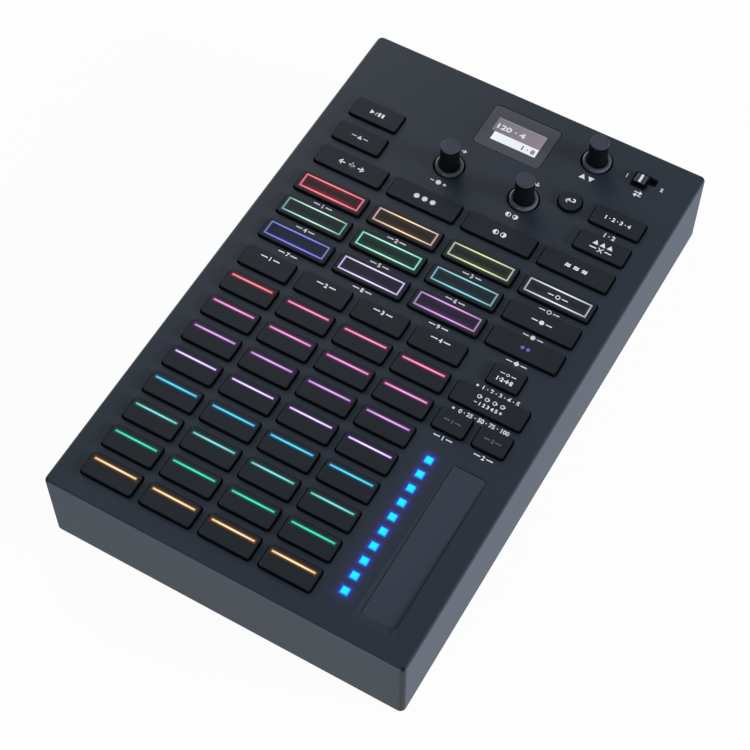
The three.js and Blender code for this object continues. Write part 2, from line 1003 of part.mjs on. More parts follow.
buildTopCase();
buildBottomCover();
buildFeet();
buildMainBoard();
buildInputBoard();
buildUsbSockets();
buildDmxSockets();
buildDisplay();
buildLevelLights();
buildTouchStrip();
buildSlideSwitch();
buildEncoders();
buildKnobs();
buildKeys();
buildPadRows();
buildBackButton();

export default controller;
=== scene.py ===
import math

import bmesh
import bpy
from mathutils import Matrix, Vector


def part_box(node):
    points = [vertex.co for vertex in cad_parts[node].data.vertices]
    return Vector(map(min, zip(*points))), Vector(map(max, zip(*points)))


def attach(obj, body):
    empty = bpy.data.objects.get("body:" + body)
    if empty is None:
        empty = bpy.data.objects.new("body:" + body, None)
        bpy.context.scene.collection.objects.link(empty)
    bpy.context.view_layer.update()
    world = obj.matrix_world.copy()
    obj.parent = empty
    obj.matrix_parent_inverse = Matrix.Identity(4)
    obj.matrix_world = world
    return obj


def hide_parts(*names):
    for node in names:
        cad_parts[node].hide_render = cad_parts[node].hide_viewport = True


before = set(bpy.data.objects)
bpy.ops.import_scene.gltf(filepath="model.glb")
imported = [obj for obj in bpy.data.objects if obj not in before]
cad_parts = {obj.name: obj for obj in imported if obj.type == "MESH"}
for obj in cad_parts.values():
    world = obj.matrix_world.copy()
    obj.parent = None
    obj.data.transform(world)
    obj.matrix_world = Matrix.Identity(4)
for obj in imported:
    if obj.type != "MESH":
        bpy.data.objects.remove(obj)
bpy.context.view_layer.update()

# Sizes are written in millimetres and turned into metres by MM.
MM = 0.001


# The studio: white background paper under the controller, a room that darkens towards its
# ceiling, three soft boxes, and the camera of the photograph. None of it is the object.
def linear(hex_colour):
    """An sRGB colour such as "2f3740" as a linear RGBA tuple."""
    shares = [int(hex_colour[i : i + 2], 16) / 255 for i in (0, 2, 4)]
    parts = [s / 12.92 if s <= 0.04045 else ((s + 0.055) / 1.055) ** 2.4 for s in shares]
    return (*parts, 1.0)


def add_node(tree, kind, inputs=(), **settings):
    """Adds a node: settings are its own options, inputs are values or sockets to link."""
    node = tree.nodes.new(kind)
    for name, value in settings.items():
        setattr(node, name, value)
    for name, value in dict(inputs).items():
        if isinstance(value, bpy.types.NodeSocket):
            tree.links.new(value, node.inputs[name])
        else:
            node.inputs[name].default_value = value
    return node


def add_lamp(name, place, size, power, colour):
    """A square soft box by its place and size in metres and its watts, facing the controller."""
    data = bpy.data.lights.new(name, type="AREA")
    data.shape = "SQUARE"
    data.size = size
    data.energy = power
    data.color = linear(colour)[:3]
    lamp = bpy.data.objects.new(name, data)
    lamp.location = place
    lamp.rotation_euler = (-lamp.location).to_track_quat("-Z", "Y").to_euler()
    bpy.context.collection.objects.link(lamp)
    return lamp


camera_data = bpy.data.cameras.new("photograph_camera")
camera_data.lens = 93.587
camera_data.sensor_width = 36
camera = bpy.data.objects.new("photograph_camera", camera_data)
camera.location = (0.254195, -0.458405, 0.843467)
camera.rotation_euler = [math.radians(angle) for angle in (31.8241, -0.0538, 29.9411)]
bpy.context.collection.objects.link(camera)
bpy.context.scene.camera = camera
bpy.context.scene.view_settings.view_transform = "Standard"

# The paper is nearly all its own white, so that it stays even, and it takes a faint shadow.
floor_radius = 4
paper_share = 0.96
bpy.ops.object.select_all(action="DESELECT")
bpy.ops.mesh.primitive_circle_add(vertices=64, radius=floor_radius, fill_type="NGON")
floor = bpy.context.object
floor.name = "studio_floor"
paper = bpy.data.materials.new("white_background_paper")
paper.use_nodes = True
tree = paper.node_tree
tree.nodes.clear()
path = add_node(tree, "ShaderNodeLightPath")
seen = path.outputs["Is Camera Ray"]
for ray in ("Is Glossy Ray", "Is Transmission Ray"):
    seen = add_node(tree, "ShaderNodeMath", {0: seen, 1: path.outputs[ray]}, operation="MAXIMUM")
    seen = seen.outputs[0]
bright = {0: seen, 1: paper_share}
bright = add_node(tree, "ShaderNodeMath", bright, operation="MULTIPLY").outputs[0]
lit = add_node(tree, "ShaderNodeBsdfDiffuse", {"Color": linear("eaf1fa")}).outputs[0]
white = {0: path.outputs["Is Camera Ray"], 6: linear("e8eef6"), 7: linear("ffffff")}
white = add_node(tree, "ShaderNodeMix", white, data_type="RGBA").outputs[2]
glow = add_node(tree, "ShaderNodeEmission", {"Color": white, "Strength": 1.0}).outputs[0]
paper_mix = add_node(tree, "ShaderNodeMixShader", {0: bright, 1: lit, 2: glow}).outputs[0]
add_node(tree, "ShaderNodeOutputMaterial", {"Surface": paper_mix})
floor.data.materials.append(paper)

room = bpy.data.worlds.new("studio_room")
room.use_nodes = True
tree = room.node_tree
tree.nodes.clear()
direction = add_node(tree, "ShaderNodeTexCoord").outputs["Generated"]
height = add_node(tree, "ShaderNodeSeparateXYZ", {0: direction}).outputs["Z"]
tone = add_node(tree, "ShaderNodeValToRGB", {"Fac": height})
heights = ((0.03, "ffffff"), (0.45, "646e7e"))
for stop, (position, colour) in zip(tone.color_ramp.elements, heights):
    stop.position = position
    stop.color = linear(colour)
air = add_node(tree, "ShaderNodeBackground", {"Color": tone.outputs[0], "Strength": 1.0}).outputs[0]
add_node(tree, "ShaderNodeOutputWorld", {"Surface": air})
bpy.context.scene.world = room

add_lamp("rear_left_soft_box", (-1.3, 1.3, 1.0), 1.3, 17, "ffffff")
add_lamp("front_soft_box", (-0.2, -1.7, 0.8), 0.4, 8, "e8f0ff")
# The right lamp stands low. It is kept out of reflections, so that the panel doesn't flare when it
# is seen from the left.
right_lamp = add_lamp("right_soft_box", (2.4, 0.3, 0.45), 0.9, 135, "ffedf6")
right_lamp.visible_glossy = False


# Upper case: panel and four walls are one injection moulding in dark slate ABS. Its edges are
# softly rounded, each opening has a small run-in at the face, and posts and bosses inside take
# the cover's screws and the main board.
case_wall = 2.5
case_corner = 3
case_edge = 1.5
cover_thickness = 1.6
rim = 0.1
key_lip = 1.4
key_gap = 5
key_slack = 0.7
key_corner = 1.3
gap = 0.3


def box_mm(node):
    """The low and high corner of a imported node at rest, in millimetres."""
    return [Vector(corner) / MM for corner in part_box(node)]


def middle_mm(node):
    """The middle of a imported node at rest, in millimetres."""
    low, high = box_mm(node)
    return (low + high) / 2


def shift(x, y, z=0):
    """A move in millimetres."""
    return Matrix.Translation((x * MM, y * MM, z * MM))


def select(piece, kind, wanted):
    """In edit mode, selects only the VERT, EDGE or FACE elements that wanted() accepts."""
    bpy.ops.mesh.select_mode(type=kind)
    bpy.ops.mesh.select_all(action="DESELECT")
    mesh = bmesh.from_edit_mesh(piece.data)
    for element in {"VERT": mesh.verts, "EDGE": mesh.edges, "FACE": mesh.faces}[kind]:
        if wanted(element):
            element.select_set(True)
    mesh.select_flush_mode()
    bmesh.update_edit_mesh(piece.data)


def pick(piece):
    """Makes one piece the only selected and active one."""
    bpy.ops.object.select_all(action="DESELECT")
    piece.select_set(True)
    bpy.context.view_layer.objects.active = piece


def edit(piece):
    pick(piece)
    bpy.ops.object.mode_set(mode="EDIT")


def done():
    bpy.ops.object.mode_set(mode="OBJECT")


def extrude(rise):
    """Extrudes the selected faces upwards, or downwards where rise is below zero."""
    bpy.ops.mesh.extrude_region_move(TRANSFORM_OT_translate={"value": (0, 0, rise * MM)})


def faces_up(face):
    return face.normal.z > 0.9


def faces_down(face):
    return face.normal.z < -0.9


def at_height(height):
    """A test for edges that lie flat at one height, in millimetres."""
    return lambda edge: all(abs(vert.co.z - height * MM) < 0.02 * MM for vert in edge.verts)


def settle(name):
    """Names the primitive that was just added, and moves its place and size into its mesh."""
    piece = bpy.context.object
    piece.name = name
    bpy.ops.object.transform_apply(location=True, rotation=True, scale=True)
    return piece


def rounded_block(name, x, y, width, depth, low, high, corner, steps=6):
    """A block with rounded upright edges: its middle, its size across, its low and high face."""
    bpy.ops.object.select_all(action="DESELECT")
    place = (x * MM, y * MM, (low + high) / 2 * MM)
    size = (width * MM, depth * MM, (high - low) * MM)
    bpy.ops.mesh.primitive_cube_add(size=1, location=place, scale=size)
    block = settle(name)
    bpy.ops.object.mode_set(mode="EDIT")
    least = gap * MM / 100
    select(block, "EDGE", lambda edge: abs(edge.verts[0].co.z - edge.verts[1].co.z) > least)
    bpy.ops.mesh.bevel(offset=corner * MM, segments=steps, affect="EDGES")
    done()
    return block


def round_bar(name, x, y, radius, low, high, sides=32):
    """An upright round bar by its middle, radius, and low and high face."""
    bpy.ops.object.select_all(action="DESELECT")
    place = (x * MM, y * MM, (low + high) / 2 * MM)
    bpy.ops.mesh.primitive_cylinder_add(
        vertices=sides, radius=radius * MM, depth=(high - low) * MM, location=place
    )
    return settle(name)


def soften(piece, height, radius, steps=3):
    """Rounds off the edges that lie flat at one height."""
    edit(piece)
    select(piece, "EDGE", at_height(height))
    bpy.ops.mesh.bevel(offset=radius * MM, segments=steps, affect="EDGES")
    done()


def widen(tool, width, depth, rise, spread):
    """Extrudes a tool's top face up by rise, and out by spread on every side."""
    edit(tool)
    select(tool, "FACE", faces_up)
    extrude(rise)
    growth = ((width + 2 * spread) / width, (depth + 2 * spread) / depth, 1)
    bpy.ops.transform.resize(value=growth, center_override=(0, 0, 0))
    done()


def copy_at(piece, name, x, y):
    """A copy with its own mesh, shifted across the panel."""
    twin = piece.copy()
    twin.data = piece.data.copy()
    twin.name = name
    twin.data.transform(shift(x, y))
    bpy.context.collection.objects.link(twin)
    return twin


def place_copies(piece, places):
    """Puts copies of a piece at each (x, y) in its stead."""
    copies = [copy_at(piece, piece.name, x, y) for x, y in places]
    bpy.data.objects.remove(piece)
    return copies


def join(pieces):
    """Joins pieces into the first of them."""
    bpy.ops.object.select_all(action="DESELECT")
    for piece in pieces:
        piece.select_set(True)
    bpy.context.view_layer.objects.active = pieces[0]
    bpy.ops.object.join()
    return pieces[0]


def combine(piece, tool, operation):
    """Applies a boolean, UNION or DIFFERENCE, with a tool that is then deleted."""
    pick(piece)
    modifier = piece.modifiers.new("boolean", "BOOLEAN")
    modifier.operation = operation
    modifier.solver = "EXACT"
    modifier.object = tool
    bpy.ops.object.modifier_apply(modifier=modifier.name)
    bpy.data.objects.remove(tool)


def smooth(piece, angle=35):
    """Smooth shading over edges below an angle, weighted so that flat faces stay flat."""
    pick(piece)
    bpy.ops.object.shade_smooth_by_angle(angle=math.radians(angle))
    modifier = piece.modifiers.new("normals", "WEIGHTED_NORMAL")
    modifier.keep_sharp = True
    bpy.ops.object.modifier_apply(modifier=modifier.name)


def cap_places(node):
    """The middle (x, y) and width of each cap in a key or a pad row."""
    low, high = box_mm(node)
    count = 4 if node in pad_rows else 1
    width = (high.x - low.x - 2 * key_lip - (count - 1) * key_gap) / count
    y = (low.y + high.y) / 2
    return [(low.x + key_lip + width / 2 + i * (width + key_gap), y, width) for i in range(count)]


pad_rows = [f"pad_row_{i + 1}" for i in range(8)]
keys = [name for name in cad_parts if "key" in name]
key_low, key_high = box_mm("smoke_key")
key_depth = key_high.y - key_low.y - 2 * key_lip
key_top = key_high.z

case_low, case_high = box_mm("top_case")
panel_top = case_high.z
panel_underside = panel_top - case_wall
case_bottom = case_low.z
inside = case_high - Vector((case_wall, case_wall, 0))
case_width, case_depth = case_high.x - case_low.x, case_high.y - case_low.y
bottom_softness = 0.4

upper_case = rounded_block(
    "upper_case", 0, 0, case_width, case_depth, case_bottom, panel_top, case_corner, 8
)
soften(upper_case, panel_top, case_edge, 8)
soften(upper_case, case_bottom, bottom_softness, 2)
edit(upper_case)
select(upper_case, "FACE", faces_down)
bpy.ops.mesh.inset(thickness=(case_wall - bottom_softness) * MM)
extrude(panel_underside - case_bottom)
done()

post_radius = 3.5
post_inset = 4.5
post_x = inside.x - post_inset
post_y = inside.y - post_inset
post_low = case_bottom + cover_thickness + gap
pilot_radius = 1.2
pilot_depth = 10
post = round_bar("post", 0, 0, post_radius, post_low, panel_underside + gap)
edit(post)
select(post, "FACE", faces_down)
bpy.ops.mesh.inset(thickness=(post_radius - pilot_radius) * MM)
extrude(pilot_depth)
done()
board_thickness = 1.6
chip_height = 1.4
boss_radius = 2.8
boss_shares = (-0.72, -0.24, 0.24, 0.72)
boss_low = box_mm("main_board")[0].z + board_thickness + chip_height + gap
boss = round_bar("boss", 0, 0, boss_radius, boss_low, panel_underside + gap)
backing_reach = 1.4
backing_thickness = 1.4
strip_low, strip_high = box_mm("touch_strip")
strip_size = strip_high - strip_low
strip_middle = (strip_low + strip_high) / 2
backing = rounded_block(
    "backing", strip_middle.x, strip_middle.y,
    strip_size.x + 2 * backing_reach, strip_size.y + 2 * backing_reach,
    panel_underside - backing_thickness, panel_underside + gap, 1,
)
inner_parts = [backing]
for side in (-1, 1):
    for x in (-post_x, 0, post_x):
        inner_parts.append(copy_at(post, "post", x, side * post_y))
    for share in boss_shares:
        inner_parts.append(copy_at(boss, "boss", side * post_x, share * post_y))
bpy.data.objects.remove(post)
bpy.data.objects.remove(boss)
combine(upper_case, join(inner_parts), "UNION")

# The tools that cut the openings reach past both faces of the panel.
overrun = 2
above = 1
tool_low = panel_underside - overrun


def opening(name, width, depth, corner, run_in):
    """A tool for an opening in the panel, whose walls widen by run_in at the face."""
    tool = rounded_block(name, 0, 0, width, depth, tool_low, panel_top - run_in, corner, 8)
    widen(tool, width, depth, run_in + above, run_in + above)
    return tool


def round_opening(name, radius, run_in):
    """The same for a round opening."""
    tool = round_bar(name, 0, 0, radius, tool_low, panel_top - run_in, 64)
    widen(tool, 2 * radius, 2 * radius, run_in + above, run_in + above)
    return tool


caps = [place for name in pad_rows + keys for place in cap_places(name)]
tools = []
for width in sorted({round(width, 2) for _, _, width in caps}):
    tool = opening(
        "key_opening", width + 2 * key_slack, key_depth + 2 * key_slack, key_corner + key_slack, rim
    )
    tools += place_copies(tool, [(x, y) for x, y, w in caps if abs(w - width) < 0.01])

knobs = {name: middle_mm(name) for name in ("speed_knob", "color_knob", "select_knob")}
knob_hole_radius = 8.5
tool = round_opening("knob_opening", knob_hole_radius, rim)
tools += place_copies(tool, [place.xy for place in knobs.values()])

back_low, back_high = box_mm("back_button")
back_middle = (back_low + back_high) / 2
back_radius = (back_high.x - back_low.x) / 2 - key_lip
tool = round_opening("back_opening", back_radius + key_slack, rim)
tools += place_copies(tool, [back_middle.xy])

light_count = 10
light_side = 3.7
light_corner = 0.3
bar_low, bar_high = box_mm("level_light_bar")
light_x = (bar_low.x + bar_high.x) / 2
light_first_y = bar_low.y + (bar_high.x - bar_low.x) / 2
light_pitch = (bar_high.y - bar_low.y - (bar_high.x - bar_low.x)) / (light_count - 1)
light_hole = light_side + 2 * gap
light_places = [(light_x, light_first_y + i * light_pitch) for i in range(light_count)]
tool = opening("light_opening", light_hole, light_hole, light_corner, rim)
tools += place_copies(tool, light_places)

slot_shift = 0.35
slot = middle_mm("usb_select_switch") + Vector((0, slot_shift, 0))
slot_width, slot_depth, slot_corner = 12.6, 5.2, 0.5
tool = opening("slot", slot_width, slot_depth, slot_corner, rim)
tools += place_copies(tool, [slot.xy])

window_low, window_high = box_mm("display_window")
window_size = window_high - window_low
window_middle = (window_low + window_high) / 2
window_corner = 2.2
window_ledge = 1.6
tools.append(
    rounded_block(
        "window_through", window_middle.x, window_middle.y,
        window_size.x - 2 * window_ledge, window_size.y - 2 * window_ledge,
        tool_low, panel_top + above, window_corner,
    )
)

# What goes through the rear wall is modelled facing up and then turned to face the rear.
to_rear = Matrix.Rotation(math.radians(-90), 4, "X")
rear_low = inside.y - overrun
rear_high = case_high.y + overrun
usb_low, usb_high = box_mm("usb_socket_1")
usb_size = usb_high - usb_low
usb_hole_corner = 0.4
barrel_radius = 11.8
for i in (1, 2):
    usb = middle_mm(f"usb_socket_{i}")
    tool = rounded_block(
        "usb_hole", 0, 0, usb_size.x + 2 * gap, usb_size.z + 2 * gap, rear_low, rear_high,
        usb_hole_corner,
    )
    tool.data.transform(shift(usb.x, 0, usb.z) @ to_rear)
    tools.append(tool)
    dmx = middle_mm(f"dmx_socket_{i}")
    tool = round_bar("dmx_hole", 0, 0, barrel_radius + gap, rear_low, rear_high, 64)
    tool.data.transform(shift(dmx.x, 0, dmx.z) @ to_rear)
    tools.append(tool)
combine(upper_case, join(tools), "DIFFERENCE")

recess = rounded_block(
    "window_recess", window_middle.x, window_middle.y,
    window_size.x + 2 * gap, window_size.y + 2 * gap,
    window_low.z - gap, panel_top + above, window_corner + gap,
)
combine(upper_case, recess, "DIFFERENCE")

# The scoop rises towards the rear, where it ends almost level with the panel. Its left and front
# sides are slopes, and its right side is upright and stands a little off the touch strip.
strip_corner = 1.4
strip_rise = 0.68
strip_climb = strip_rise / strip_size.y
strip_lean = Matrix.Identity(4)
strip_lean[2][1] = strip_climb
strip_lean[2][3] = -strip_climb * strip_low.y * MM
scoop_floor = strip_high.z
left_slope = 3
front_slope = 7
right_margin = 1.3
scoop_width, scoop_depth = strip_size.x + gap + right_margin, strip_size.y + 2 * gap
scoop = rounded_block(
    "scoop", 0, 0, scoop_width, scoop_depth, scoop_floor, scoop_floor + gap / 10,
    strip_corner + gap, 8,
)
scoop_rise = panel_top + above - scoop_floor
spread = (scoop_rise * left_slope, scoop_rise * front_slope)
widen(scoop, scoop_width, scoop_depth, scoop_rise, 0)
edit(scoop)
select(scoop, "FACE", faces_up)
growth = ((scoop_width + spread[0]) / scoop_width, (scoop_depth + spread[1]) / scoop_depth, 1)
bpy.ops.transform.resize(value=growth, center_override=(0, 0, 0))
bpy.ops.transform.translate(value=(-spread[0] / 2 * MM, -spread[1] / 2 * MM, 0))
done()
scoop_tool = copy_at(scoop, "scoop_tool", strip_middle.x + (right_margin - gap) / 2, strip_middle.y)
bpy.data.objects.remove(scoop)
scoop_tool.data.transform(strip_lean)
combine(upper_case, scoop_tool, "DIFFERENCE")
recess = rounded_block(
    "strip_recess", strip_middle.x, strip_middle.y,
    strip_size.x + 2 * gap, strip_size.y + 2 * gap,
    strip_low.z - gap, panel_top, strip_corner + gap, 8,
)
recess.data.transform(strip_lean)
combine(upper_case, recess, "DIFFERENCE")
smooth(upper_case, 14)


drift_size = 45


def moulded_plastic(name, light, dark, roughness, grain, depth, specular=0.5):
    """Moulded plastic: two close tones that drift over centimetres, and a fine pitted texture.

    The texture's grain and depth are in millimetres.
    """
    material = bpy.data.materials.new(name)
    material.use_nodes = True
    tree = material.node_tree
    tree.nodes.clear()
    place = add_node(tree, "ShaderNodeTexCoord").outputs["Object"]
    drift = {"Vector": place, "Scale": 1 / (drift_size * MM), "Detail": 3}
    drift = add_node(tree, "ShaderNodeTexNoise", drift).outputs[0]
    tone = {0: drift, 6: linear(light), 7: linear(dark)}
    tone = add_node(tree, "ShaderNodeMix", tone, data_type="RGBA")
    pits = {"Vector": place, "Scale": 1 / (grain * MM), "Detail": 2}
    pits = add_node(tree, "ShaderNodeTexNoise", pits).outputs[0]
    bump = {"Height": pits, "Strength": 0.6, "Distance": depth * MM}
    bump = add_node(tree, "ShaderNodeBump", bump)
    sheen = {"Value": pits, "To Min": roughness - 0.05, "To Max": roughness + 0.05}
    sheen = add_node(tree, "ShaderNodeMapRange", sheen)
    shader = add_node(
        tree,
        "ShaderNodeBsdfPrincipled",
        {
            "Base Color": tone.outputs[2],
            "Roughness": sheen.outputs[0],
            "Normal": bump.outputs[0],
            "IOR": 1.5,
            "Specular IOR Level": specular,
        },
    )
    add_node(tree, "ShaderNodeOutputMaterial", {"Surface": shader.outputs[0]})
    return material


def opened(material):
    """A material's node tree and its shader, for more nodes."""
    tree = material.node_tree
    return tree, tree.nodes["Principled BSDF"]


def tint(tree, shader, share, colour):
    """Lays a colour over a shader's own, as strongly as the socket share says."""
    base = shader.inputs["Base Color"]
    blend = {0: share, 6: base.links[0].from_socket, 7: linear(colour)}
    blend = add_node(tree, "ShaderNodeMix", blend, data_type="RGBA")
    tree.links.new(blend.outputs[2], base)


def light_up(tree, shader, light):
    """Lets a shader shine with the colour of a socket."""
    tree.links.new(light, shader.inputs["Emission Color"])
    shader.inputs["Emission Strength"].default_value = 1.0


def where(tree):
    """The X, Y and Z of a point of the object, in metres, for patterns that follow its place."""
    place = add_node(tree, "ShaderNodeTexCoord").outputs["Object"]
    return add_node(tree, "ShaderNodeSeparateXYZ", {0: place}).outputs


def square_light_offsets(tree):
    """How far a point lies outside the nearest level light in x and in y, in metres."""
    axes = where(tree)
    pitch = light_pitch * MM
    from_x = {0: axes["X"], 1: light_x * MM}
    from_x = add_node(tree, "ShaderNodeMath", from_x, operation="SUBTRACT").outputs[0]
    from_y = {0: axes["Y"], 1: light_first_y * MM}
    from_y = add_node(tree, "ShaderNodeMath", from_y, operation="SUBTRACT").outputs[0]
    index = add_node(tree, "ShaderNodeMath", {0: from_y, 1: pitch}, operation="DIVIDE").outputs[0]
    index = add_node(tree, "ShaderNodeMath", {0: index}, operation="ROUND").outputs[0]
    index = add_node(tree, "ShaderNodeClamp", {0: index, 1: 0, 2: light_count - 1}).outputs[0]
    near = add_node(tree, "ShaderNodeMath", {0: index, 1: pitch}, operation="MULTIPLY").outputs[0]
    from_y = add_node(tree, "ShaderNodeMath", {0: from_y, 1: near}, operation="SUBTRACT").outputs[0]
    offsets = []
    for distance in (from_x, from_y):
        size = add_node(tree, "ShaderNodeMath", {0: distance}, operation="ABSOLUTE").outputs[0]
        size = {0: size, 1: light_side / 2 * MM}
        size = add_node(tree, "ShaderNodeMath", size, operation="SUBTRACT").outputs[0]
        offsets.append(size)
    return offsets


def dress(piece, material, body, slot_name, *nodes):
    """Gives a piece its material, the body that it moves with, and the nodes that it stands for.

    A piece whose faces have their materials already comes with None.
    """
    if material:
        piece.data.materials.clear()
        piece.data.materials.append(material)
    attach(piece, body)
    if nodes:
        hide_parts(*nodes)


# Moulded ABS with a spark-eroded texture: a matt, cool dark slate with soft broad highlights.
# The real pits are about 0.1 mm wide and are drawn at 0.5 mm, so that they just show. Along the
# front of the rounded top edge, a paler band is a painted highlight, and a darker tone on the
# upright corners is painted shade. The light of the level lights bleeds into the plastic round
# them, blue at the edge and violet beyond.
textured_abs = moulded_plastic("slate_textured_ABS", "29333b", "242d35", 0.5, 0.5, 0.02, 0.34)
tree, shader = opened(textured_abs)
axes = where(tree)
# Painted highlight: a pale band along the middle of the rounding of the front top edge.
painted_edge_highlight = 1.0
for axis, low, high in (
    ("Z", panel_top - 0.9 * case_edge, panel_top - 0.6 * case_edge),
    ("Z", panel_top - 0.1 * case_edge, panel_top - 0.3 * case_edge),
    ("Y", case_low.y + 2 * case_edge, case_low.y + case_edge),
):
    ramp = {"Value": axes[axis], "From Min": low * MM, "From Max": high * MM}
    ramp = add_node(tree, "ShaderNodeMapRange", ramp).outputs[0]
    painted_edge_highlight = add_node(tree, "ShaderNodeMath", {0: painted_edge_highlight, 1: ramp}, operation="MULTIPLY").outputs[0]
tint(tree, shader, painted_edge_highlight, "525b62")
# Painted shade: the rounding of each upright corner is tinted almost black.
corner = 1.0
for axis, half in (("X", case_width / 2), ("Y", case_depth / 2)):
    side = add_node(tree, "ShaderNodeMath", {0: axes[axis]}, operation="ABSOLUTE").outputs[0]
    start, end = half - case_corner, half - case_corner / 2
    ramp = {"Value": side, "From Min": start * MM, "From Max": end * MM}
    ramp = add_node(tree, "ShaderNodeMapRange", ramp, interpolation_type="SMOOTHSTEP").outputs[0]
    corner = add_node(tree, "ShaderNodeMath", {0: corner, 1: ramp}, operation="MINIMUM").outputs[0]
tint(tree, shader, corner, "06080a")
squares = []
for offset in square_light_offsets(tree):
    out = add_node(tree, "ShaderNodeMath", {0: offset, 1: 0}, operation="MAXIMUM").outputs[0]
    square = add_node(tree, "ShaderNodeMath", {0: out, 1: out}, operation="MULTIPLY")
    squares.append(square.outputs[0])
distance = add_node(tree, "ShaderNodeMath", {0: squares[0], 1: squares[1]}, operation="ADD")
distance = add_node(tree, "ShaderNodeMath", {0: distance.outputs[0]}, operation="SQRT").outputs[0]
bleed = []
for reach, colour in ((0.55, "1434e0"), (1.6, "261a66")):
    fall = {0: distance, 1: -1 / (reach * MM)}
    fall = add_node(tree, "ShaderNodeMath", fall, operation="MULTIPLY")
    fall = add_node(tree, "ShaderNodeMath", {0: fall.outputs[0]}, operation="EXPONENT")
    part = {0: linear(colour)[:3], "Scale": fall.outputs[0]}
    part = add_node(tree, "ShaderNodeVectorMath", part, operation="SCALE")
    bleed.append(part.outputs[0])
bleed = add_node(tree, "ShaderNodeVectorMath", enumerate(bleed), operation="ADD").outputs[0]
light_up(tree, shader, bleed)
dress(upper_case, textured_abs, "root", "case", "top_case")


# Bottom cover: powder-coated sheet steel, let into the case from below. Six cross-recess screws
# hold it to the posts, and two glued strips of soft rubber carry the controller.
def paint(node, material):
    """Gives a carried-over CAD node a finished material."""
    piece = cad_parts[node]
    piece.data.materials.clear()
    piece.data.materials.append(material)


smear_size = 9


def metal(name, colour, roughness, grain, depth):
    """Plated or turned metal: a fine grain and a slightly uneven shine, sizes in millimetres."""
    material = bpy.data.materials.new(name)
    material.use_nodes = True
    tree = material.node_tree
    tree.nodes.clear()
    place = add_node(tree, "ShaderNodeTexCoord").outputs["Object"]
    grains, smears = [
        add_node(tree, "ShaderNodeTexNoise", {"Vector": place, "Scale": 1 / (size * MM)}).outputs[0]
        for size in (grain, smear_size)
    ]
    shine = {"Value": smears, "To Min": roughness - 0.08, "To Max": roughness + 0.1}
    shine = add_node(tree, "ShaderNodeMapRange", shine)
    bump = {"Height": grains, "Strength": 0.5, "Distance": depth * MM}
    bump = add_node(tree, "ShaderNodeBump", bump)
    shader = add_node(
        tree,
        "ShaderNodeBsdfPrincipled",
        {
            "Base Color": linear(colour),
            "Metallic": 1.0,
            "Roughness": shine.outputs[0],
            "Normal": bump.outputs[0],
        },
    )
    add_node(tree, "ShaderNodeOutputMaterial", {"Surface": shader.outputs[0]})
    return material


# Black powder coat: satin, with the soft orange peel of a baked coating about 1 mm across.
powder_coat = moulded_plastic("black_powder_coat", "2b2e33", "25282d", 0.45, 1.0, 0.03)
paint("bottom_cover", powder_coat)
# Moulded rubber: dull, nearly black, with a dusty drift in its tone.
rubber = moulded_plastic("black_soft_rubber", "1f1f20", "171718", 0.85, 0.4, 0.03)
for node in ("front_foot_strip", "rear_foot_strip"):
    paint(node, rubber)

screw_radius = 2.3
screw_sink = 0.1
screw_seat = 0.8
screw_low = case_bottom + screw_sink
screw_high = case_bottom + screw_seat - gap / 3
screw_edge = 0.3
thread_slack = 0.15
shank_radius = pilot_radius - thread_slack
shank_length = 8
slit_length, slit_width, slit_depth, slit_corner = 2.6, 0.55, 0.5, 0.08
screw = round_bar("screw", 0, 0, screw_radius, screw_low, screw_high, 48)
soften(screw, screw_low, screw_edge)
shank = round_bar("shank", 0, 0, shank_radius, screw_high - gap / 2, post_low + shank_length, 24)
combine(screw, shank, "UNION")
for width, depth in ((slit_length, slit_width), (slit_width, slit_length)):
    slit = rounded_block(
        "slit", 0, 0, width, depth, screw_low - above, screw_low + slit_depth, slit_corner, 1
    )
    combine(screw, slit, "DIFFERENCE")
screw_places = [(x, side * post_y) for side in (-1, 1) for x in (-post_x, 0, post_x)]
cover_screws = join(place_copies(screw, screw_places))
cover_screws.name = "cover_screws"
smooth(cover_screws)
# Black-oxided steel: dark metal with a dull, oily shine.
black_steel = metal("black_oxide_steel", "4a4c50", 0.42, 0.3, 0.01)
dress(cover_screws, black_steel, "root", "cover")


# Boards and the parts on them: two circuit boards, three encoders in blackened steel housings,
# the slide switch's body and the turned shaft of the pressing knob. The case hides them all.
board_top = box_mm("speed_encoder")[0].z - gap
# Solder mask is a glossy green lacquer over the copper; what stands above it is black moulding.
circuit_board = moulded_plastic("green_solder_mask", "14603f", "0f5034", 0.35, 2.2, 0.03)
tree, shader = opened(circuit_board)
raised = {0: where(tree)["Z"], 1: (board_top + gap / 2) * MM}
raised = add_node(tree, "ShaderNodeMath", raised, operation="GREATER_THAN").outputs[0]
tint(tree, shader, raised, "1c1d1f")
paint("main_board", circuit_board)
paint("input_board", circuit_board)
# Bright zinc plate on folded sheet steel.
zinc_plate = metal("zinc_plated_steel", "b9bcbf", 0.32, 0.4, 0.01)
paint("usb_select_switch", zinc_plate)
for node in ("speed_encoder", "color_encoder", "select_encoder"):
    paint(node, black_steel)
# Turned steel, a little finer than the plate.
turned_steel = metal("turned_steel", "c9cbce", 0.25, 0.2, 0.008)
paint("select_shaft", turned_steel)
# The module's glass: black, smooth and clean.
black_glass = moulded_plastic("black_display_glass", "101216", "0c0e11", 0.12, 6, 0.002)
paint("display_module", black_glass)


# Key caps: satin black caps pushed up through the panel from inside. A lip stops each one under
# the panel and a short plunger presses its switch. Four pads of a row hang on thin webs.
plunger_length = 1.2
plunger_width = 3.2
plunger_corner = 0.2
lip_height = 1
lip_low = key_low.z + plunger_length
lip_high = lip_low + lip_height
cap_edge = 0.3
# Moulded cap plastic: smoother and a shade darker than the case, with a fine satin grain.
satin_cap = moulded_plastic("black_satin_cap", "1b2328", "181f24", 0.6, 0.35, 0.008, 0.3)
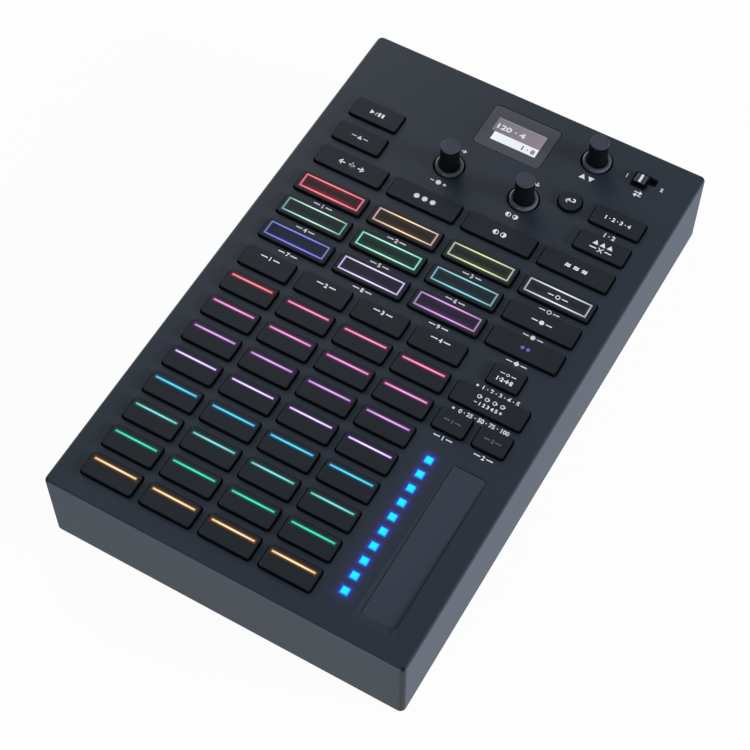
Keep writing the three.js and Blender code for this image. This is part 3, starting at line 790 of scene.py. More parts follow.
# The flanks are a rough near-black that stands in for the shade in the narrow gaps: painted shade.
painted_shade_flank = moulded_plastic("black_flank_painted_shade", "0b0c0e", "090a0c", 0.8, 0.3, 0.02, 0.15)


def assign(piece, slot_index, wanted):
    """Gives the faces that wanted() accepts one of the piece's material slots."""
    edit(piece)
    select(piece, "FACE", wanted)
    piece.active_material_index = slot_index
    bpy.ops.object.material_slot_assign()
    done()


def finish_cap(cap):
    """Smooth shading, a satin face, and painted shade: the flanks and the front and right
    rounding of the face take the near-black flank material.
    """
    smooth(cap)
    cap.data.materials.append(satin_cap)
    cap.data.materials.append(painted_shade_flank)
    # Painted shade: the flanks, and the face's rounding that looks front or right, take the black.
    assign(
        cap, 1,
        lambda face: face.calc_center_median().z < (key_top - 0.9 * cap_edge) * MM
        or face.normal.z < 0.95 and (face.normal.x > 0.15 or face.normal.y < -0.15),
    )


def raise_cap(lip):
    """Draws a cap up from its lip, and puts the plunger under it."""
    edit(lip)
    select(lip, "FACE", faces_up)
    bpy.ops.mesh.inset(thickness=key_lip * MM)
    extrude(key_top - lip_high)
    done()
    soften(lip, key_top, cap_edge)
    plunger = rounded_block(
        "plunger", 0, 0, plunger_width, plunger_width, key_low.z, lip_low + lip_height / 2,
        plunger_corner, 2,
    )
    combine(lip, plunger, "UNION")


def key_cap(width):
    """A cap of one width with its lip and plunger, at the middle of the panel."""
    cap = rounded_block(
        "cap", 0, 0, width + 2 * key_lip, key_depth + 2 * key_lip, lip_low, lip_high,
        key_corner + key_lip,
    )
    raise_cap(cap)
    return cap


for width in sorted({round(cap_places(name)[0][2], 2) for name in keys}):
    cap = key_cap(width)
    finish_cap(cap)
    for name in keys:
        x, y, w = cap_places(name)[0]
        if abs(w - width) < 0.01:
            dress(copy_at(cap, f"{name}_cap", x, y), None, name, "key", name)
    bpy.data.objects.remove(cap)

pad_places = cap_places(pad_rows[0])
pad_width = pad_places[0][2]
web_width = key_gap - 2 * key_lip + gap
web_depth = 5
web_corner = 0.2
web_low, web_high = lip_low + 0.25, lip_high - 0.25
cap = key_cap(pad_width)
row_parts = place_copies(cap, [(x, 0) for x, _, _ in pad_places])
for x, _, _ in pad_places[1:]:
    web_x = x - (pad_width + key_gap) / 2
    web = rounded_block("web", web_x, 0, web_width, web_depth, web_low, web_high, web_corner, 1)
    row_parts.append(web)
pads = join(row_parts)
finish_cap(pads)
for name in pad_rows:
    _, y, _ = cap_places(name)[0]
    dress(copy_at(pads, f"{name}_caps", 0, y), None, name, "key", name)
bpy.data.objects.remove(pads)


# Light guides in the caps: clear inlays flush with the cap, lit from below. Each pad has a line,
# and the position keys and the white key have a frame that fades towards its ends. A thin glow
# spreads in the cap round each one.
inlay_proud = 0.02
inlay_thickness = 0.12
glow_near = 0.35
glow_far = 0.9
glow_inside = 2.4
glow_share = 0.5


def blend_colour(start, end, share):
    return tuple(a + (b - a) * share for a, b in zip(start, end))


def light_inlay(name, x, y, width, depth, line, colours):
    """A lit inlay: a bar where line is 0, or else a frame of that line width.

    The colours are those of its middle, its ends, and the glow beside it.
    """
    reach = glow_near + glow_far
    size = ((width + 2 * reach) * MM, (depth + 2 * reach) * MM, 1)
    bpy.ops.object.select_all(action="DESELECT")
    bpy.ops.mesh.primitive_grid_add(x_subdivisions=8, y_subdivisions=1, size=1)
    bpy.context.object.scale = size
    inlay = settle(name)
    bpy.ops.object.mode_set(mode="EDIT")
    bpy.ops.mesh.select_all(action="SELECT")
    steps = [glow_far, glow_near] + ([line, glow_near, glow_inside] if line else [])
    for step in steps:
        bpy.ops.mesh.inset(thickness=step * MM)
    if line:
        bpy.ops.mesh.delete(type="FACE")
    bpy.ops.mesh.select_all(action="SELECT")
    extrude(-inlay_thickness)
    bpy.ops.mesh.select_all(action="SELECT")
    bpy.ops.mesh.normals_make_consistent(inside=False)
    done()
    middle, end, glow = [linear(colour) for colour in colours]
    light = inlay.data.color_attributes.new("light", "FLOAT_COLOR", "CORNER")

    def beside(point):
        """How far a point is from the lit line, in millimetres."""
        out = max(abs(point.x) / MM - width / 2, abs(point.y) / MM - depth / 2)
        return max(out, -out - line if line else 0, 0)

    for face in inlay.data.polygons:
        lit = beside(face.center) < 0.01
        for i in face.loop_indices:
            point = inlay.data.vertices[inlay.data.loops[i].vertex_index].co
            along = min(abs(point.x) / MM / (width / 2), 1) ** 2
            away = beside(point)
            if lit:
                light.data[i].color = blend_colour(middle, end, along)
            elif away < glow_near + 0.01:
                level = glow_share * (1 - 0.4 * away / glow_near)
                if line and away > glow_near / 2:
                    level *= (1 - 0.6 * along) * (0.8 - 0.4 * point.y / MM / depth)
                light.data[i].color = tuple(part * level for part in glow[:3]) + (1.0,)
            else:
                light.data[i].color = (0.0, 0.0, 0.0, 1.0)
    inlay.data.transform(shift(x, y, key_top + inlay_proud))
    return inlay


# The inlays share the cap's satin surface and add the light that is kept in their corners. A
# black mask round each light guide makes its glow deeper.
mask_from = 0.04
lit_inlay = moulded_plastic("lit_clear_inlay", "1b2328", "181f24", 0.6, 0.35, 0.008, 0.3)
tree, shader = opened(lit_inlay)
light = add_node(tree, "ShaderNodeAttribute", attribute_name="light").outputs["Color"]
light_up(tree, shader, light)
power = add_node(tree, "ShaderNodeVectorMath", {0: light}, operation="LENGTH").outputs["Value"]
mask = add_node(tree, "ShaderNodeMapRange", {"Value": power, "From Max": mask_from}).outputs[0]
tint(tree, shader, mask, "060708")
pad_line_width = 23
pad_line_depth = 0.95
pad_line_y = 3.05
row_colours = [
    ("fdf2c4", "e6d0a8", "b4680c"), ("44ead2", "48cca4", "04845c"), ("8ae8e6", "7cb8ba", "0a7a74"),
    ("58e4f4", "66bce0", "047cb4"), ("f8eafc", "d6c8ec", "7030a8"), ("e8b8ea", "aa9cc4", "8c2cb0"),
    ("f0b0e4", "cc9cbc", "b02898"), ("f6a4d4", "d29ab8", "c41c74"),
]
end_pad_colours = ("f69baa", "d88a90", "cc1c3c")
for row, name in enumerate(pad_rows):
    lines = []
    for column, (x, y, _) in enumerate(cap_places(name)):
        colours = end_pad_colours if (row, column) == (7, 0) else row_colours[row]
        line = light_inlay("line", x, y + pad_line_y, pad_line_width, pad_line_depth, 0, colours)
        lines.append(line)
    row_lines = join(lines)
    row_lines.name = f"{name}_light_lines"
    dress(row_lines, lit_inlay, name, "key")

frame_colours = {
    "position_key_1": ("ff9aa0", "cc7e96", "e02c40"),
    "position_key_2": ("fcf2cf", "bba9b4", "9a5c18"),
    "position_key_3": ("ecf8c8", "a9b5ba", "6c7c20"),
    "position_key_4": ("e2faf2", "6ca89a", "146c50"),
    "position_key_5": ("ccfff0", "84dac6", "109068"),
    "position_key_6": ("a4e5ed", "86a7b0", "147084"),
    "position_key_7": ("8c94de", "7880a2", "2c38b0"),
    "position_key_8": ("fbf6ff", "bdbbd7", "644aa0"),
    "position_key_9": ("e8b8ee", "9092a1", "903ca8"),
    "white_key": ("f7faff", "a6aeb6", "50586a"),
}
frame_width, frame_depth, frame_line = 34, 8.4, 0.75
frame_y = 0.15
for name, colours in frame_colours.items():
    x, y, _ = cap_places(name)[0]
    light_frame = light_inlay(
        f"{name}_light_frame", x, y + frame_y, frame_width, frame_depth, frame_line, colours
    )
    dress(light_frame, lit_inlay, name, "key")


# Back button: a round cap of the same satin black moulding, with the same lip and plunger. It is
# pushed up through its own round hole from inside, like the key caps.
button = round_bar("back_button_cap", 0, 0, back_radius + key_lip, lip_low, lip_high, 64)
raise_cap(button)
finish_cap(button)
button.data.transform(shift(back_middle.x, back_middle.y))
dress(button, None, "back_button", "key", "back_button")


# Knobs: each is one black moulding with a satin beaded skirt that sits in the panel's hole, a
# tapered grip, and a grey top disc with a slightly paler rim. Its shaft goes into the encoder.
def turn_profile(name, profile, sides):
    """Turns a profile of (radius, height) in millimetres, starting and ending in a closed face."""
    radius, low = profile[0]
    bpy.ops.object.select_all(action="DESELECT")
    bpy.ops.mesh.primitive_circle_add(
        vertices=sides, radius=radius * MM, fill_type="NGON", location=(0, 0, low * MM)
    )
    turned = settle(name)
    bpy.ops.object.mode_set(mode="EDIT")
    bpy.ops.mesh.select_all(action="SELECT")
    for next_radius, next_height in profile[1:]:
        extrude(next_height - low)
        growth = next_radius / radius
        bpy.ops.transform.resize(value=(growth, growth, 1), center_override=(0, 0, 0))
        radius, low = next_radius, next_height
    bpy.ops.mesh.select_all(action="SELECT")
    bpy.ops.mesh.normals_make_consistent(inside=False)
    done()
    return turned


knob_low, knob_high = box_mm("select_knob")
skirt_radius = (knob_high.x - knob_low.x) / 2
skirt_low = knob_low.z
skirt_rise = 1.6
skirt_top = panel_top + skirt_rise
skirt_edge = 0.2
stem_radius = 5.2
grip_radius = 4.95
grip_edge = 0.4
edge_cut = 0.12
disc_radius = 4.4
disc_depth = 0.1
shaft_radius = 3
bore_radius = shaft_radius + gap
bore_top = box_mm("select_shaft")[1].z + gap
bead_middle = (skirt_radius + stem_radius) / 2
bead_reach = (skirt_radius - stem_radius) / 2
bead_rise = 0.9
bead_steps = 10
bead = []
for step in range(bead_steps + 1):
    angle = math.pi * step / bead_steps
    height = skirt_top - bead_rise * (1 - math.sin(angle))
    bead.append((bead_middle + bead_reach * math.cos(angle), height))
knob_outside = [
    (skirt_radius - skirt_edge, skirt_low), (skirt_radius, skirt_low + skirt_edge), *bead,
    (stem_radius - 0.02, skirt_top), (grip_radius, knob_high.z - grip_edge),
    (grip_radius - edge_cut, knob_high.z - edge_cut), (grip_radius - grip_edge, knob_high.z),
    (disc_radius, knob_high.z), (disc_radius - disc_depth, knob_high.z - disc_depth),
]
# Grip plastic: near black, smooth and matt, with a faint moulding grain.
grip_plastic = moulded_plastic("black_matt_grip", "08090c", "07080a", 0.6, 0.3, 0.01, 0.15)
# The skirt is the same plastic, smoother, and shows the room as soft crescents; its pale grey
# tone over the black is a painted sheen.
skirt_painted_sheen = moulded_plastic("black_skirt_painted_sheen", "45494e", "414549", 0.27, 0.25, 0.003)
# The disc is a satin grey cap, and its rim a little paler where the edge is turned.
disc_plastic = moulded_plastic("slate_satin_disc", "3b414b", "383e48", 0.6, 0.35, 0.01, 0.36)
rim_plastic = moulded_plastic("slate_turned_rim", "3c414b", "393e47", 0.5, 0.5, 0.008, 0.36)

for name, place in knobs.items():
    if name == "select_knob":
        start = [(bore_radius, bore_top), (bore_radius, skirt_low)]
    else:
        start = [(shaft_radius, box_mm(name)[0].z), (shaft_radius, skirt_low)]
    knob = turn_profile(f"{name}_moulding", start + knob_outside, 96)
    smooth(knob, 40)
    dress(knob, grip_plastic, name, "knob", name)
    for material in (skirt_painted_sheen, disc_plastic, rim_plastic):
        knob.data.materials.append(material)
    assign(
        knob, 1,
        lambda face: face.calc_center_median().xy.length > stem_radius * MM
        and face.calc_center_median().z < (skirt_top + 0.1) * MM,
    )
    assign(
        knob, 3,
        lambda face: face.calc_center_median().z > (knob_high.z - grip_edge * 0.8) * MM
        and face.calc_center_median().xy.length > (disc_radius + 0.02) * MM,
    )
    assign(
        knob, 2,
        lambda face: face.calc_center_median().z > (knob_high.z - 0.3) * MM
        and face.calc_center_median().xy.length < disc_radius * MM,
    )
    knob.data.transform(shift(place.x, place.y))


# Switch lever: a low moulded pyramid on a thin black foot that lies over the slot. Its top is grey
# with two raised edges and a white line filled in between, and its flanks are painted black as
# painted shade. A neck and a stem under the foot reach through the slot into the switch.
lever_low, lever_high = box_mm("usb_switch_lever")
foot_width, foot_depth, foot_thickness = 8.6, 9.1, 0.5
foot_low = panel_top + gap
foot_top = foot_low + foot_thickness
lever_x = lever_low.x + foot_width / 2
lever_y = lever_low.y + foot_depth / 2
cap_width, cap_depth = 6.6, 6.2
top_width, top_depth = 5.9, 5.7
lever_corner = 0.5
lever_softness = 0.2
ridge_width = 0.7
ridge_corner = 0.3
ridge_rise = 0.2
ridge_edge = 0.15
lever_top = lever_high.z - ridge_rise
lever = rounded_block(
    "usb_switch_lever_cap", 0, 0, cap_width, cap_depth, foot_low + gap / 2, foot_top,
    lever_corner, 4,
)
edit(lever)
select(lever, "FACE", faces_up)
extrude(lever_top - foot_top)
growth = (top_width / cap_width, top_depth / cap_depth, 1)
bpy.ops.transform.resize(value=growth, center_override=(0, 0, 0))
done()
soften(lever, lever_top, lever_softness, 2)
foot = rounded_block("foot", 0, 0, foot_width, foot_depth, foot_low, foot_top, lever_corner, 4)
soften(foot, foot_top, lever_softness, 2)
combine(lever, foot, "UNION")
for side in (-1, 1):
    ridge = rounded_block(
        "ridge", side * (top_width / 2 - ridge_width), 0, ridge_width,
        top_depth - 4 * lever_softness, lever_top - gap, lever_high.z, ridge_corner, 4,
    )
    soften(ridge, lever_high.z, ridge_edge, 2)
    combine(lever, ridge, "UNION")
lever.data.transform(shift(lever_x, lever_y))
switch_low, switch_high = box_mm("usb_select_switch")
switch_y = (switch_low.y + switch_high.y) / 2
neck_x = lever_low.x + 3.6
neck_low, neck_high = switch_high.z + gap, foot_low + foot_thickness / 2
neck_corner = 0.1
for name, y, width, depth, low, high in (
    ("neck", slot.y, 7, 4.2, neck_low, neck_high),
    ("stem", switch_y, 3, 1.8, lever_low.z, neck_low + gap),
):
    block = rounded_block(name, neck_x, y, width, depth, low, high, neck_corner, 1)
    combine(lever, block, "UNION")
smooth(lever)
# Acetal: a slightly waxy neutral grey plastic.
lever_plastic = moulded_plastic("grey_acetal", "3e4042", "3a3c3e", 0.42, 0.8, 0.01)
dress(lever, lever_plastic, "usb_switch_lever", "lever", "usb_switch_lever")
# The foot is black and dull, and the cap's flanks take the same black as painted shade.
black_foot_and_painted_shade = moulded_plastic("black_acetal_foot_and_painted_shade", "050506", "040405", 0.7, 0.3, 0.01, 0.1)
lever.data.materials.append(black_foot_and_painted_shade)
flank_top = (lever_top - 0.9 * lever_softness) * MM
assign(lever, 1, lambda face: face.calc_center_median().z < flank_top)
line_width, line_length, line_corner = 1.3, 5.1, 0.15
line_high = lever_top + 0.05
lever_line = rounded_block(
    "usb_switch_lever_line", lever_x, lever_y, line_width, line_length,
    lever_top - gap, line_high, line_corner, 2,
)
# White filler: flat paint with a slight chalky unevenness.
white_filler = moulded_plastic("white_line_filler", "ffffff", "f4f4f4", 0.6, 0.4, 0.01)
dress(lever_line, white_filler, "usb_switch_lever", "lever")


# Display: a tinted satin window let into a recess of the panel. The lit picture of the cell shows
# straight under its face: a grey-violet field with figures, and a white bar with more figures.
window = rounded_block(
    "display_window_pane", window_middle.x, window_middle.y, window_size.x, window_size.y,
    window_low.z, window_high.z, window_corner,
)
window_edge = 0.15
soften(window, window_high.z, window_edge, 2)
smooth(window)
# Tinted acrylic: a smooth blue-grey sheet with a satin shine.
tinted_window = moulded_plastic("tinted_satin_acrylic", "484b52", "45484f", 0.36, 0.25, 0.003)
dress(window, tinted_window, "root", "window", "display_window")


def lit_film(name, x, y, width, depth, thickness, colours):
    """A thin lit rectangle on the window, whose colour goes from left to right."""
    film_low, film_high = window_high.z - 0.1, window_high.z + thickness
    film = rounded_block(name, x, y, width, depth, film_low, film_high, 0.05, 1)
    light = film.data.color_attributes.new("light", "FLOAT_COLOR", "CORNER")
    left, right = [linear(colour) for colour in colours]
    for loop in film.data.loops:
        share = film.data.vertices[loop.vertex_index].co.x / MM - (x - width / 2)
        light.data[loop.index].color = blend_colour(left, right, min(max(share / width, 0), 1))
    return film


# The lit picture: light of the cell's own colours on a dark glassy face, with its dot grid.
dot_pitch = 0.25
field_proud, bar_proud, edge_proud = 0.02, 0.03, 0.035
lit_picture = moulded_plastic("lit_display_picture", "101216", "0d0f12", 0.3, 4, 0.002)
tree, shader = opened(lit_picture)
axes = where(tree)
dots = []
for axis in ("X", "Y"):
    wave = {0: axes[axis], 1: 2 * math.pi / (dot_pitch * MM)}
    wave = add_node(tree, "ShaderNodeMath", wave, operation="MULTIPLY")
    wave = add_node(tree, "ShaderNodeMath", {0: wave.outputs[0]}, operation="COSINE")
    dots.append(wave.outputs[0])
grid = add_node(tree, "ShaderNodeMath", enumerate(dots), operation="MAXIMUM").outputs[0]
grid = {"Value": grid, "From Min": -1, "To Min": 1, "To Max": 0.9}
grid = add_node(tree, "ShaderNodeMapRange", grid).outputs[0]
light = add_node(tree, "ShaderNodeAttribute", attribute_name="light").outputs["Color"]
picture = add_node(tree, "ShaderNodeVectorMath", {0: light, "Scale": grid}, operation="SCALE")
light_up(tree, shader, picture.outputs[0])
# The field lies behind and the bar in front of it, and both end at the same right edge.
field_front, field_rear = 130.4, 139.6
field_y, field_depth = (field_front + field_rear) / 2, field_rear - field_front
bar_front, bar_rear = 124.7, field_front - 0.2
bar_y, bar_depth = (bar_front + bar_rear) / 2, bar_rear - bar_front
field_width, bar_width = 28, 25.9
bar_x = (field_width - bar_width) / 2
rear_line, right_line = 0.4, 0.3
rear_line_y, right_line_x = field_rear - rear_line / 2, (field_width - right_line) / 2
field_colours, bar_colours = ("74727c", "8e8290"), ("f0fcfa", "f3eefc")
rear_colours, right_colours = ("8f8d98", "a8a2ae"), ("a09aa6", "a09aa6")
films = [
    lit_film("field", 0, field_y, field_width, field_depth, field_proud, field_colours),
    lit_film("bar", bar_x, bar_y, bar_width, bar_depth, bar_proud, bar_colours),
    lit_film("rear_edge", 0, rear_line_y, field_width, rear_line, bar_proud, rear_colours),
    lit_film(
        "right_edge", right_line_x, field_y, right_line, field_depth, edge_proud, right_colours
    ),
]
picture = join(films)
picture.name = "display_picture"
dress(picture, lit_picture, "root", "display")


# Level lights: ten square guides of milky acrylic on one bar, each standing through its own hole
# and lit cyan from below. Their edges are bluer than their middles.
bar_top = panel_underside - gap
bar_corner = 0.5
light_bar = rounded_block(
    "level_light_guides", light_x, (bar_low.y + bar_high.y) / 2, bar_high.x - bar_low.x,
    bar_high.y - bar_low.y, bar_low.z, bar_top, bar_corner,
)
guide_edge = 0.15
guide = rounded_block(
    "guide", 0, 0, light_side, light_side, bar_top - gap, bar_high.z, light_corner, 3
)
soften(guide, bar_high.z, guide_edge, 2)
combine(light_bar, join(place_copies(guide, light_places)), "UNION")
smooth(light_bar)
# Milky acrylic lit from below: an even cyan that turns blue in the last half millimetre.
lit_acrylic = moulded_plastic("cyan_lit_acrylic", "0a6a80", "0a6078", 0.3, 0.8, 0.01)
tree, shader = opened(lit_acrylic)
edge = add_node(tree, "ShaderNodeMath", enumerate(square_light_offsets(tree)), operation="MAXIMUM")
share = {"Value": edge.outputs[0], "From Min": -0.7 * MM, "From Max": 0.1 * MM}
share = add_node(tree, "ShaderNodeMapRange", share).outputs[0]
cyan = {0: share, 6: linear("12ecf2"), 7: linear("0a98f2")}
cyan = add_node(tree, "ShaderNodeMix", cyan, data_type="RGBA").outputs[2]
light_up(tree, shader, cyan)
dress(light_bar, lit_acrylic, "root", "light_guide", "level_light_bar")


# Touch strip: a thin plate with a satin film on it, glued into the floor of the scoop.
# Its right side and its front end meet the scoop's floor, and a thin groove is left at the others.
strip_reach = 0.85 * gap
strip_edge = 0.08
touch_strip = rounded_block(
    "touch_strip_plate", strip_middle.x + strip_reach / 2, strip_middle.y - strip_reach / 2,
    strip_size.x + strip_reach, strip_size.y + strip_reach, strip_low.z, strip_high.z,
    strip_corner, 8,
)
soften(touch_strip, strip_high.z, strip_edge, 2)
smooth(touch_strip)
touch_strip.data.transform(strip_lean)
# Satin film: violet-grey and a little smoother than the case round it.
satin_film = moulded_plastic("violet_grey_satin_film", "3a3f4b", "373b46", 0.36, 0.6, 0.006)
dress(touch_strip, satin_film, "root", "strip", "touch_strip")


# Rear sockets: two USB sockets, each a folded nickel-plated steel shell round a black moulding with
# a tongue and four gold contacts, and two DMX sockets, each a black nylon barrel with a groove for
# the plug's shell round an insert with three gold pin contacts. They stand on the socket board.
usb_rear = usb_high.y
shell_wall = 0.5
shell_corner = 0.5
socket_edge = 0.15
shell = rounded_block(
    "usb_shell", 0, 0, usb_size.x, usb_size.z, usb_low.y, usb_rear, shell_corner, 4
)
soften(shell, usb_rear, socket_edge, 2)
moulding_width, moulding_height = usb_size.x - 2 * shell_wall, usb_size.z - 2 * shell_wall
moulding_low, moulding_rear = usb_low.y + shell_wall, usb_rear - 0.3
moulding_corner = 0.3
hollow = rounded_block(
    "hollow", 0, 0, moulding_width, moulding_height, moulding_low, usb_rear + above,
    moulding_corner, 4,
)
combine(shell, hollow, "DIFFERENCE")
smooth(shell)
moulding = rounded_block(
    "usb_moulding", 0, 0, moulding_width, moulding_height, moulding_low, moulding_rear,
    moulding_corner, 4,
)
mouth_width, mouth_height, mouth_depth = 8.8, 7.8, 9
mouth_chamfer = 1.7
mouth_floor = usb_rear - mouth_depth
bpy.ops.object.select_all(action="DESELECT")
bpy.ops.mesh.primitive_cube_add(
    size=1, location=(0, 0, (mouth_floor + mouth_depth / 2 + above / 2) * MM),
    scale=(mouth_width * MM, mouth_height * MM, (mouth_depth + above) * MM),
)
mouth = settle("mouth")
edit(mouth)
select(
    mouth, "EDGE",
    lambda edge: abs(edge.verts[0].co.z - edge.verts[1].co.z) > MM and edge.verts[0].co.y < 0,
)
bpy.ops.mesh.bevel(offset=mouth_chamfer * MM, segments=1, affect="EDGES")
done()
combine(moulding, mouth, "DIFFERENCE")
tongue_width, tongue_height = 5.6, 3.2
tongue_rear = usb_rear - 1.5
tongue_corner, tongue_edge = 0.2, 0.3
tongue = rounded_block(
    "tongue", 0, 0, tongue_width, tongue_height, mouth_floor - gap, tongue_rear, tongue_corner, 2
)
soften(tongue, tongue_rear, tongue_edge, 2)
combine(moulding, tongue, "UNION")
smooth(moulding)
contact_width, contact_thickness = 1, 0.1
contact_x = 1.25
contact_rear = tongue_rear - 0.5
contacts = []
for side in (-1, 1):
    for x in (-contact_x, contact_x):
        contact = rounded_block(
            "usb_contacts", x, side * tongue_height / 2, contact_width, contact_thickness,
            mouth_floor, contact_rear, 0.03, 1,
        )
        contacts.append(contact)
contacts = join(contacts)
# Nickel plate on folded steel: bright, with the faint smears of handling.
nickel = metal("nickel_plated_steel", "c2c4c6", 0.28, 0.5, 0.006)
# The moulding inside: black, smooth and slightly shiny.
socket_black = moulded_plastic("black_smooth_polyester", "17181a", "141517", 0.4, 0.4, 0.006)
# Gold flash over nickel.
gold_plate = metal("gold_flashed_contact", "d8b060", 0.25, 0.3, 0.004)


def set_in_rear(kind, slot_name, parts):
    """Copies a socket's parts into its two places. The first part stands for the CAD node."""
    for i in (1, 2):
        name = f"{kind}_socket_{i}"
        middle = middle_mm(name)
        nodes = [name]
        for part_name, piece, material in parts:
            twin = copy_at(piece, f"{name}_{part_name}", 0, 0)
            twin.data.transform(shift(middle.x, 0, middle.z) @ to_rear)
            dress(twin, material, "root", slot_name, *nodes)
            nodes = []
    for _, piece, _ in parts:
        bpy.data.objects.remove(piece)


usb_parts = [
    ("shell", shell, nickel),
    ("moulding", moulding, socket_black),
    ("contacts", contacts, gold_plate),
]
set_in_rear("usb", "socket_shell", usb_parts)

dmx_low, dmx_high = box_mm("dmx_socket_1")
dmx_rear = dmx_high.y
groove_outside, groove_inside, groove_depth = 9.7, 7.8, 12
insert_rear = dmx_rear - 0.8
barrel_edge = 0.4
groove_edge = 0.2
insert_edge = 0.3
body_rear = inside.y
barrel = turn_profile(
    "dmx_socket",
    [
        (barrel_radius, body_rear - 2 * gap), (barrel_radius, dmx_rear - barrel_edge),
        (barrel_radius - edge_cut, dmx_rear - edge_cut), (barrel_radius - barrel_edge, dmx_rear),
    ],
    96,
)
body = rounded_block(
    "body", 0, 0, dmx_high.x - dmx_low.x, dmx_high.z - dmx_low.z, dmx_low.y, body_rear, 1, 4
)
combine(barrel, body, "UNION")
groove = turn_profile(
    "groove",
    [
        (groove_outside, dmx_rear - groove_depth), (groove_outside, dmx_rear - groove_edge),
        (groove_outside + groove_edge, dmx_rear), (groove_outside + groove_edge, dmx_rear + above),
    ],
    96,
)
core = turn_profile(
    "core",
    [
        (groove_inside, dmx_rear - groove_depth - above),
        (groove_inside, insert_rear - insert_edge), (groove_inside - insert_edge, insert_rear),
    ],
    96,
)
combine(groove, core, "DIFFERENCE")
combine(barrel, groove, "DIFFERENCE")
pin_radius, pin_circle, pin_depth = 1.3, 4.1, 8
pin_floor = insert_rear - pin_depth
tube_radius, tube_wall, tube_rear = pin_radius - 0.02, 0.3, insert_rear - 1.2
tubes = []
for degrees in (30, 150, 270):
    angle = math.radians(degrees)
    x, y = pin_circle * math.cos(angle), -pin_circle * math.sin(angle)
    hole = round_bar("hole", x, y, pin_radius, pin_floor, dmx_rear + above, 32)
    combine(barrel, hole, "DIFFERENCE")
    tube = round_bar("dmx_contacts", x, y, tube_radius, pin_floor, tube_rear, 32)
    bore = round_bar("bore", x, y, pin_radius - tube_wall, pin_floor + gap, dmx_rear, 32)
    combine(tube, bore, "DIFFERENCE")
    tubes.append(tube)
tubes = join(tubes)
smooth(tubes)
smooth(barrel, 30)
latch_y = -(groove_outside + 0.95)
latch_width, latch_height = 6, 1.3
latch_low, latch_rear = dmx_rear - 4, dmx_rear + 0.1
latch = rounded_block(
    "dmx_latch", 0, latch_y, latch_width, latch_height, latch_low, latch_rear, 0.3, 3
)
soften(latch, latch_rear, socket_edge, 2)
smooth(latch)
# Glass-filled nylon: black, with the dull speckle of its fibres.
nylon = moulded_plastic("black_glass_filled_nylon", "1d1e20", "191a1c", 0.55, 0.6, 0.02)
dmx_parts = [("barrel", barrel, nylon), ("contacts", tubes, gold_plate), ("latch", latch, nickel)]
set_in_rear("dmx", "socket_body", dmx_parts)


# Printed marks: white ink, pad-printed on the caps and the panel. Plain numbers and common signs
# only. Those on a cap ride with it. The strokes are made a little bolder than the font's.
ink_proud = 0.03
stroke_growth = 0.034


def mark(text, x, y, width, surface, height=0):
    """A mark of thin ink by its middle and width on a surface, stretched to a height if given."""
    bpy.ops.object.select_all(action="DESELECT")
    bpy.ops.object.text_add()
    ink = bpy.context.object
    ink.data.body = text
    ink.data.resolution_u = 3
    ink.data.extrude = 0.01
    ink.data.offset = stroke_growth
    bpy.ops.object.convert(target="MESH")
    ink = bpy.context.object
    points = [vert.co for vert in ink.data.vertices]
    low = Vector([min(point[i] for point in points) for i in range(3)])
    high = Vector([max(point[i] for point in points) for i in range(3)])
    scale = width * MM / (high.x - low.x)
    scale_y = height * MM / (high.y - low.y) if height else scale
    ink.data.transform(
        shift(x, y, surface)
        @ Matrix.Diagonal((scale, scale_y, ink_proud * MM / high.z, 1))
        @ Matrix.Translation((-(low.x + high.x) / 2, -(low.y + high.y) / 2, 0))
    )
    return ink


# Pad-printed ink: white, thin enough that the grain below makes it slightly uneven.
white_ink = moulded_plastic("white_printing_ink", "fbfbfb", "f2f2f4", 0.5, 0.3, 0.01)
violet_ink = moulded_plastic("violet_printing_ink", "8a6ad8", "7c5cc8", 0.5, 0.3, 0.01)
grey_ink = moulded_plastic("grey_printing_ink", "6c7077", "62666d", 0.5, 0.3, 0.01)

# Each cap's rows: the signs, their shift towards the rear and their width.
cap_marks = {
    "movement_key": [("← ✥ →", 0, 15)],
    "strobe_key": [("✳ ✳ ✳", 0, 12.5)],
    "hue_key": [("◐ ◑", 0, 7.4)],
    "smoke_key": [("≈ ≈ ≈", 0, 12)],
    "white_key": [("━ ○ ━", 0, 11)],
    "black_key": [("━ ● ━", 0, 11)],
    "violet_key": [("◆ ◆", 0, 5.4)],
    "shift_key": [("━ ▲ ━", 0, 9.6)],
    "override_key": [("▲ ▲ ▲", 1.5, 11), ("━ ✕ ━", -2.3, 12)],
    "play_key": [("▶ / ❚ ❚", 0, 8)],
    "tempo_key": [("1 · 2 · 3 · 4", 0, 14)],
    "auto_loop_key": [("━ ⟳ ━", 1.6, 8.5), ("1·2·4·8", -2, 8.5)],
    "intensity_key": [("⟳ ⟳ ⟳ ⟳", 1.7, 15), ("− 1 2 3 4 5 +", -1.9, 15)],
    "group_key_left": [("━ 1 ━", 0, 9)],
    "group_key_right": [("━ 2 ━", 0, 9)],
    "back_button": [("↩", 0, 5.2)],
}
for i in range(1, 5):
    cap_marks[f"bank_key_{i}"] = [(f"━ {i} ━", 2.75, 10.6)]
inks = {"violet_key": violet_ink, "group_key_left": grey_ink, "group_key_right": grey_ink}
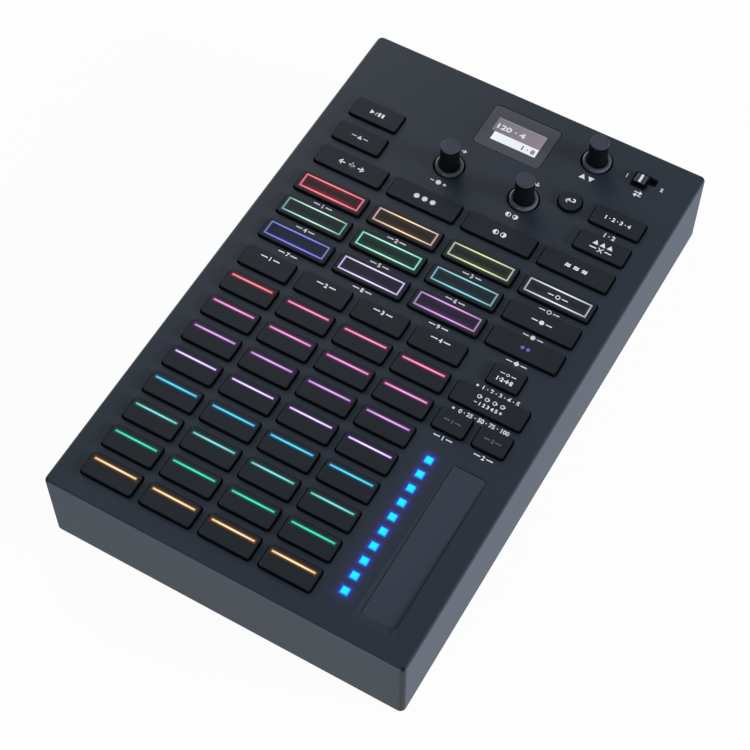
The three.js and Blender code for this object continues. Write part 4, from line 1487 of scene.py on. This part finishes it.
for name, rows in cap_marks.items():
    middle = middle_mm(name)
    ink = join([mark(text, middle.x, middle.y + y, width, key_top) for text, y, width in rows])
    ink.name = f"{name}_mark"
    dress(ink, inks.get(name, white_ink), name, "key")

# The panel's marks: the signs, their middle and their width.
under_key = -9
panel_marks = [
    ("1 · 2", 70, 98.8, 6), ("▲ ▼", 43.2, 126.5, 8), ("− ● +", -21.2, 86.1, 9),
    ("◐ ◑", 21.2, 86.1, 7), ("← →", -21.5, 110.2, 7.5), ("↑ ↓", 21.5, 110.2, 6.5),
    ("1", 60.4, 138.5, 0.6), ("2", 80, 138.4, 1.5), ("⇄", 70.2, 130.2, 4.6),
    ("●", 54, -10.9, 1.4), ("1 · 2 · 3 · 4 · 5", 66.6, -10.9, 19.6),
    ("●", 50, -27.8, 1.4), ("0 · 25 · 50 · 75 · 100", 66.4, -27.8, 27),
    ("━ 1 ━", 53.7, -45, 10), ("━ 2 ━", 75.3, -45, 10),
]
for i in range(1, 10):
    place = middle_mm(f"position_key_{i}")
    panel_marks.append((f"━ {i} ━", place.x, place.y + under_key, 10.6))
for name, text in (("white_key", "━ ○ ━"), ("black_key", "━ ● ━"), ("violet_key", "━ ◆ ━")):
    place = middle_mm(name)
    panel_marks.append((text, place.x, place.y + under_key, 11))
ink = join([mark(text, x, y, width, panel_top) for text, x, y, width in panel_marks])
ink.name = "panel_marks"
dress(ink, white_ink, "root", "case")

display_figures = mark("120 · 4", -4.3, 134.3, 16, window_high.z + field_proud, 3.4)
display_figures.name = "display_figures"
# The lit figures of the cell's dark field.
lit_figures = moulded_plastic("lit_display_figures", "202020", "1c1c1c", 0.4, 0.3, 0.005)
_, shader = opened(lit_figures)
shader.inputs["Emission Color"].default_value = linear("d6d8de")
shader.inputs["Emission Strength"].default_value = 1.0
dress(display_figures, lit_figures, "root", "display")
bar_figures = mark("1 · 8", 9, 127.3, 7.4, window_high.z + bar_proud, 3)
bar_figures.name = "display_bar_figures"
dress(bar_figures, grey_ink, "root", "display")
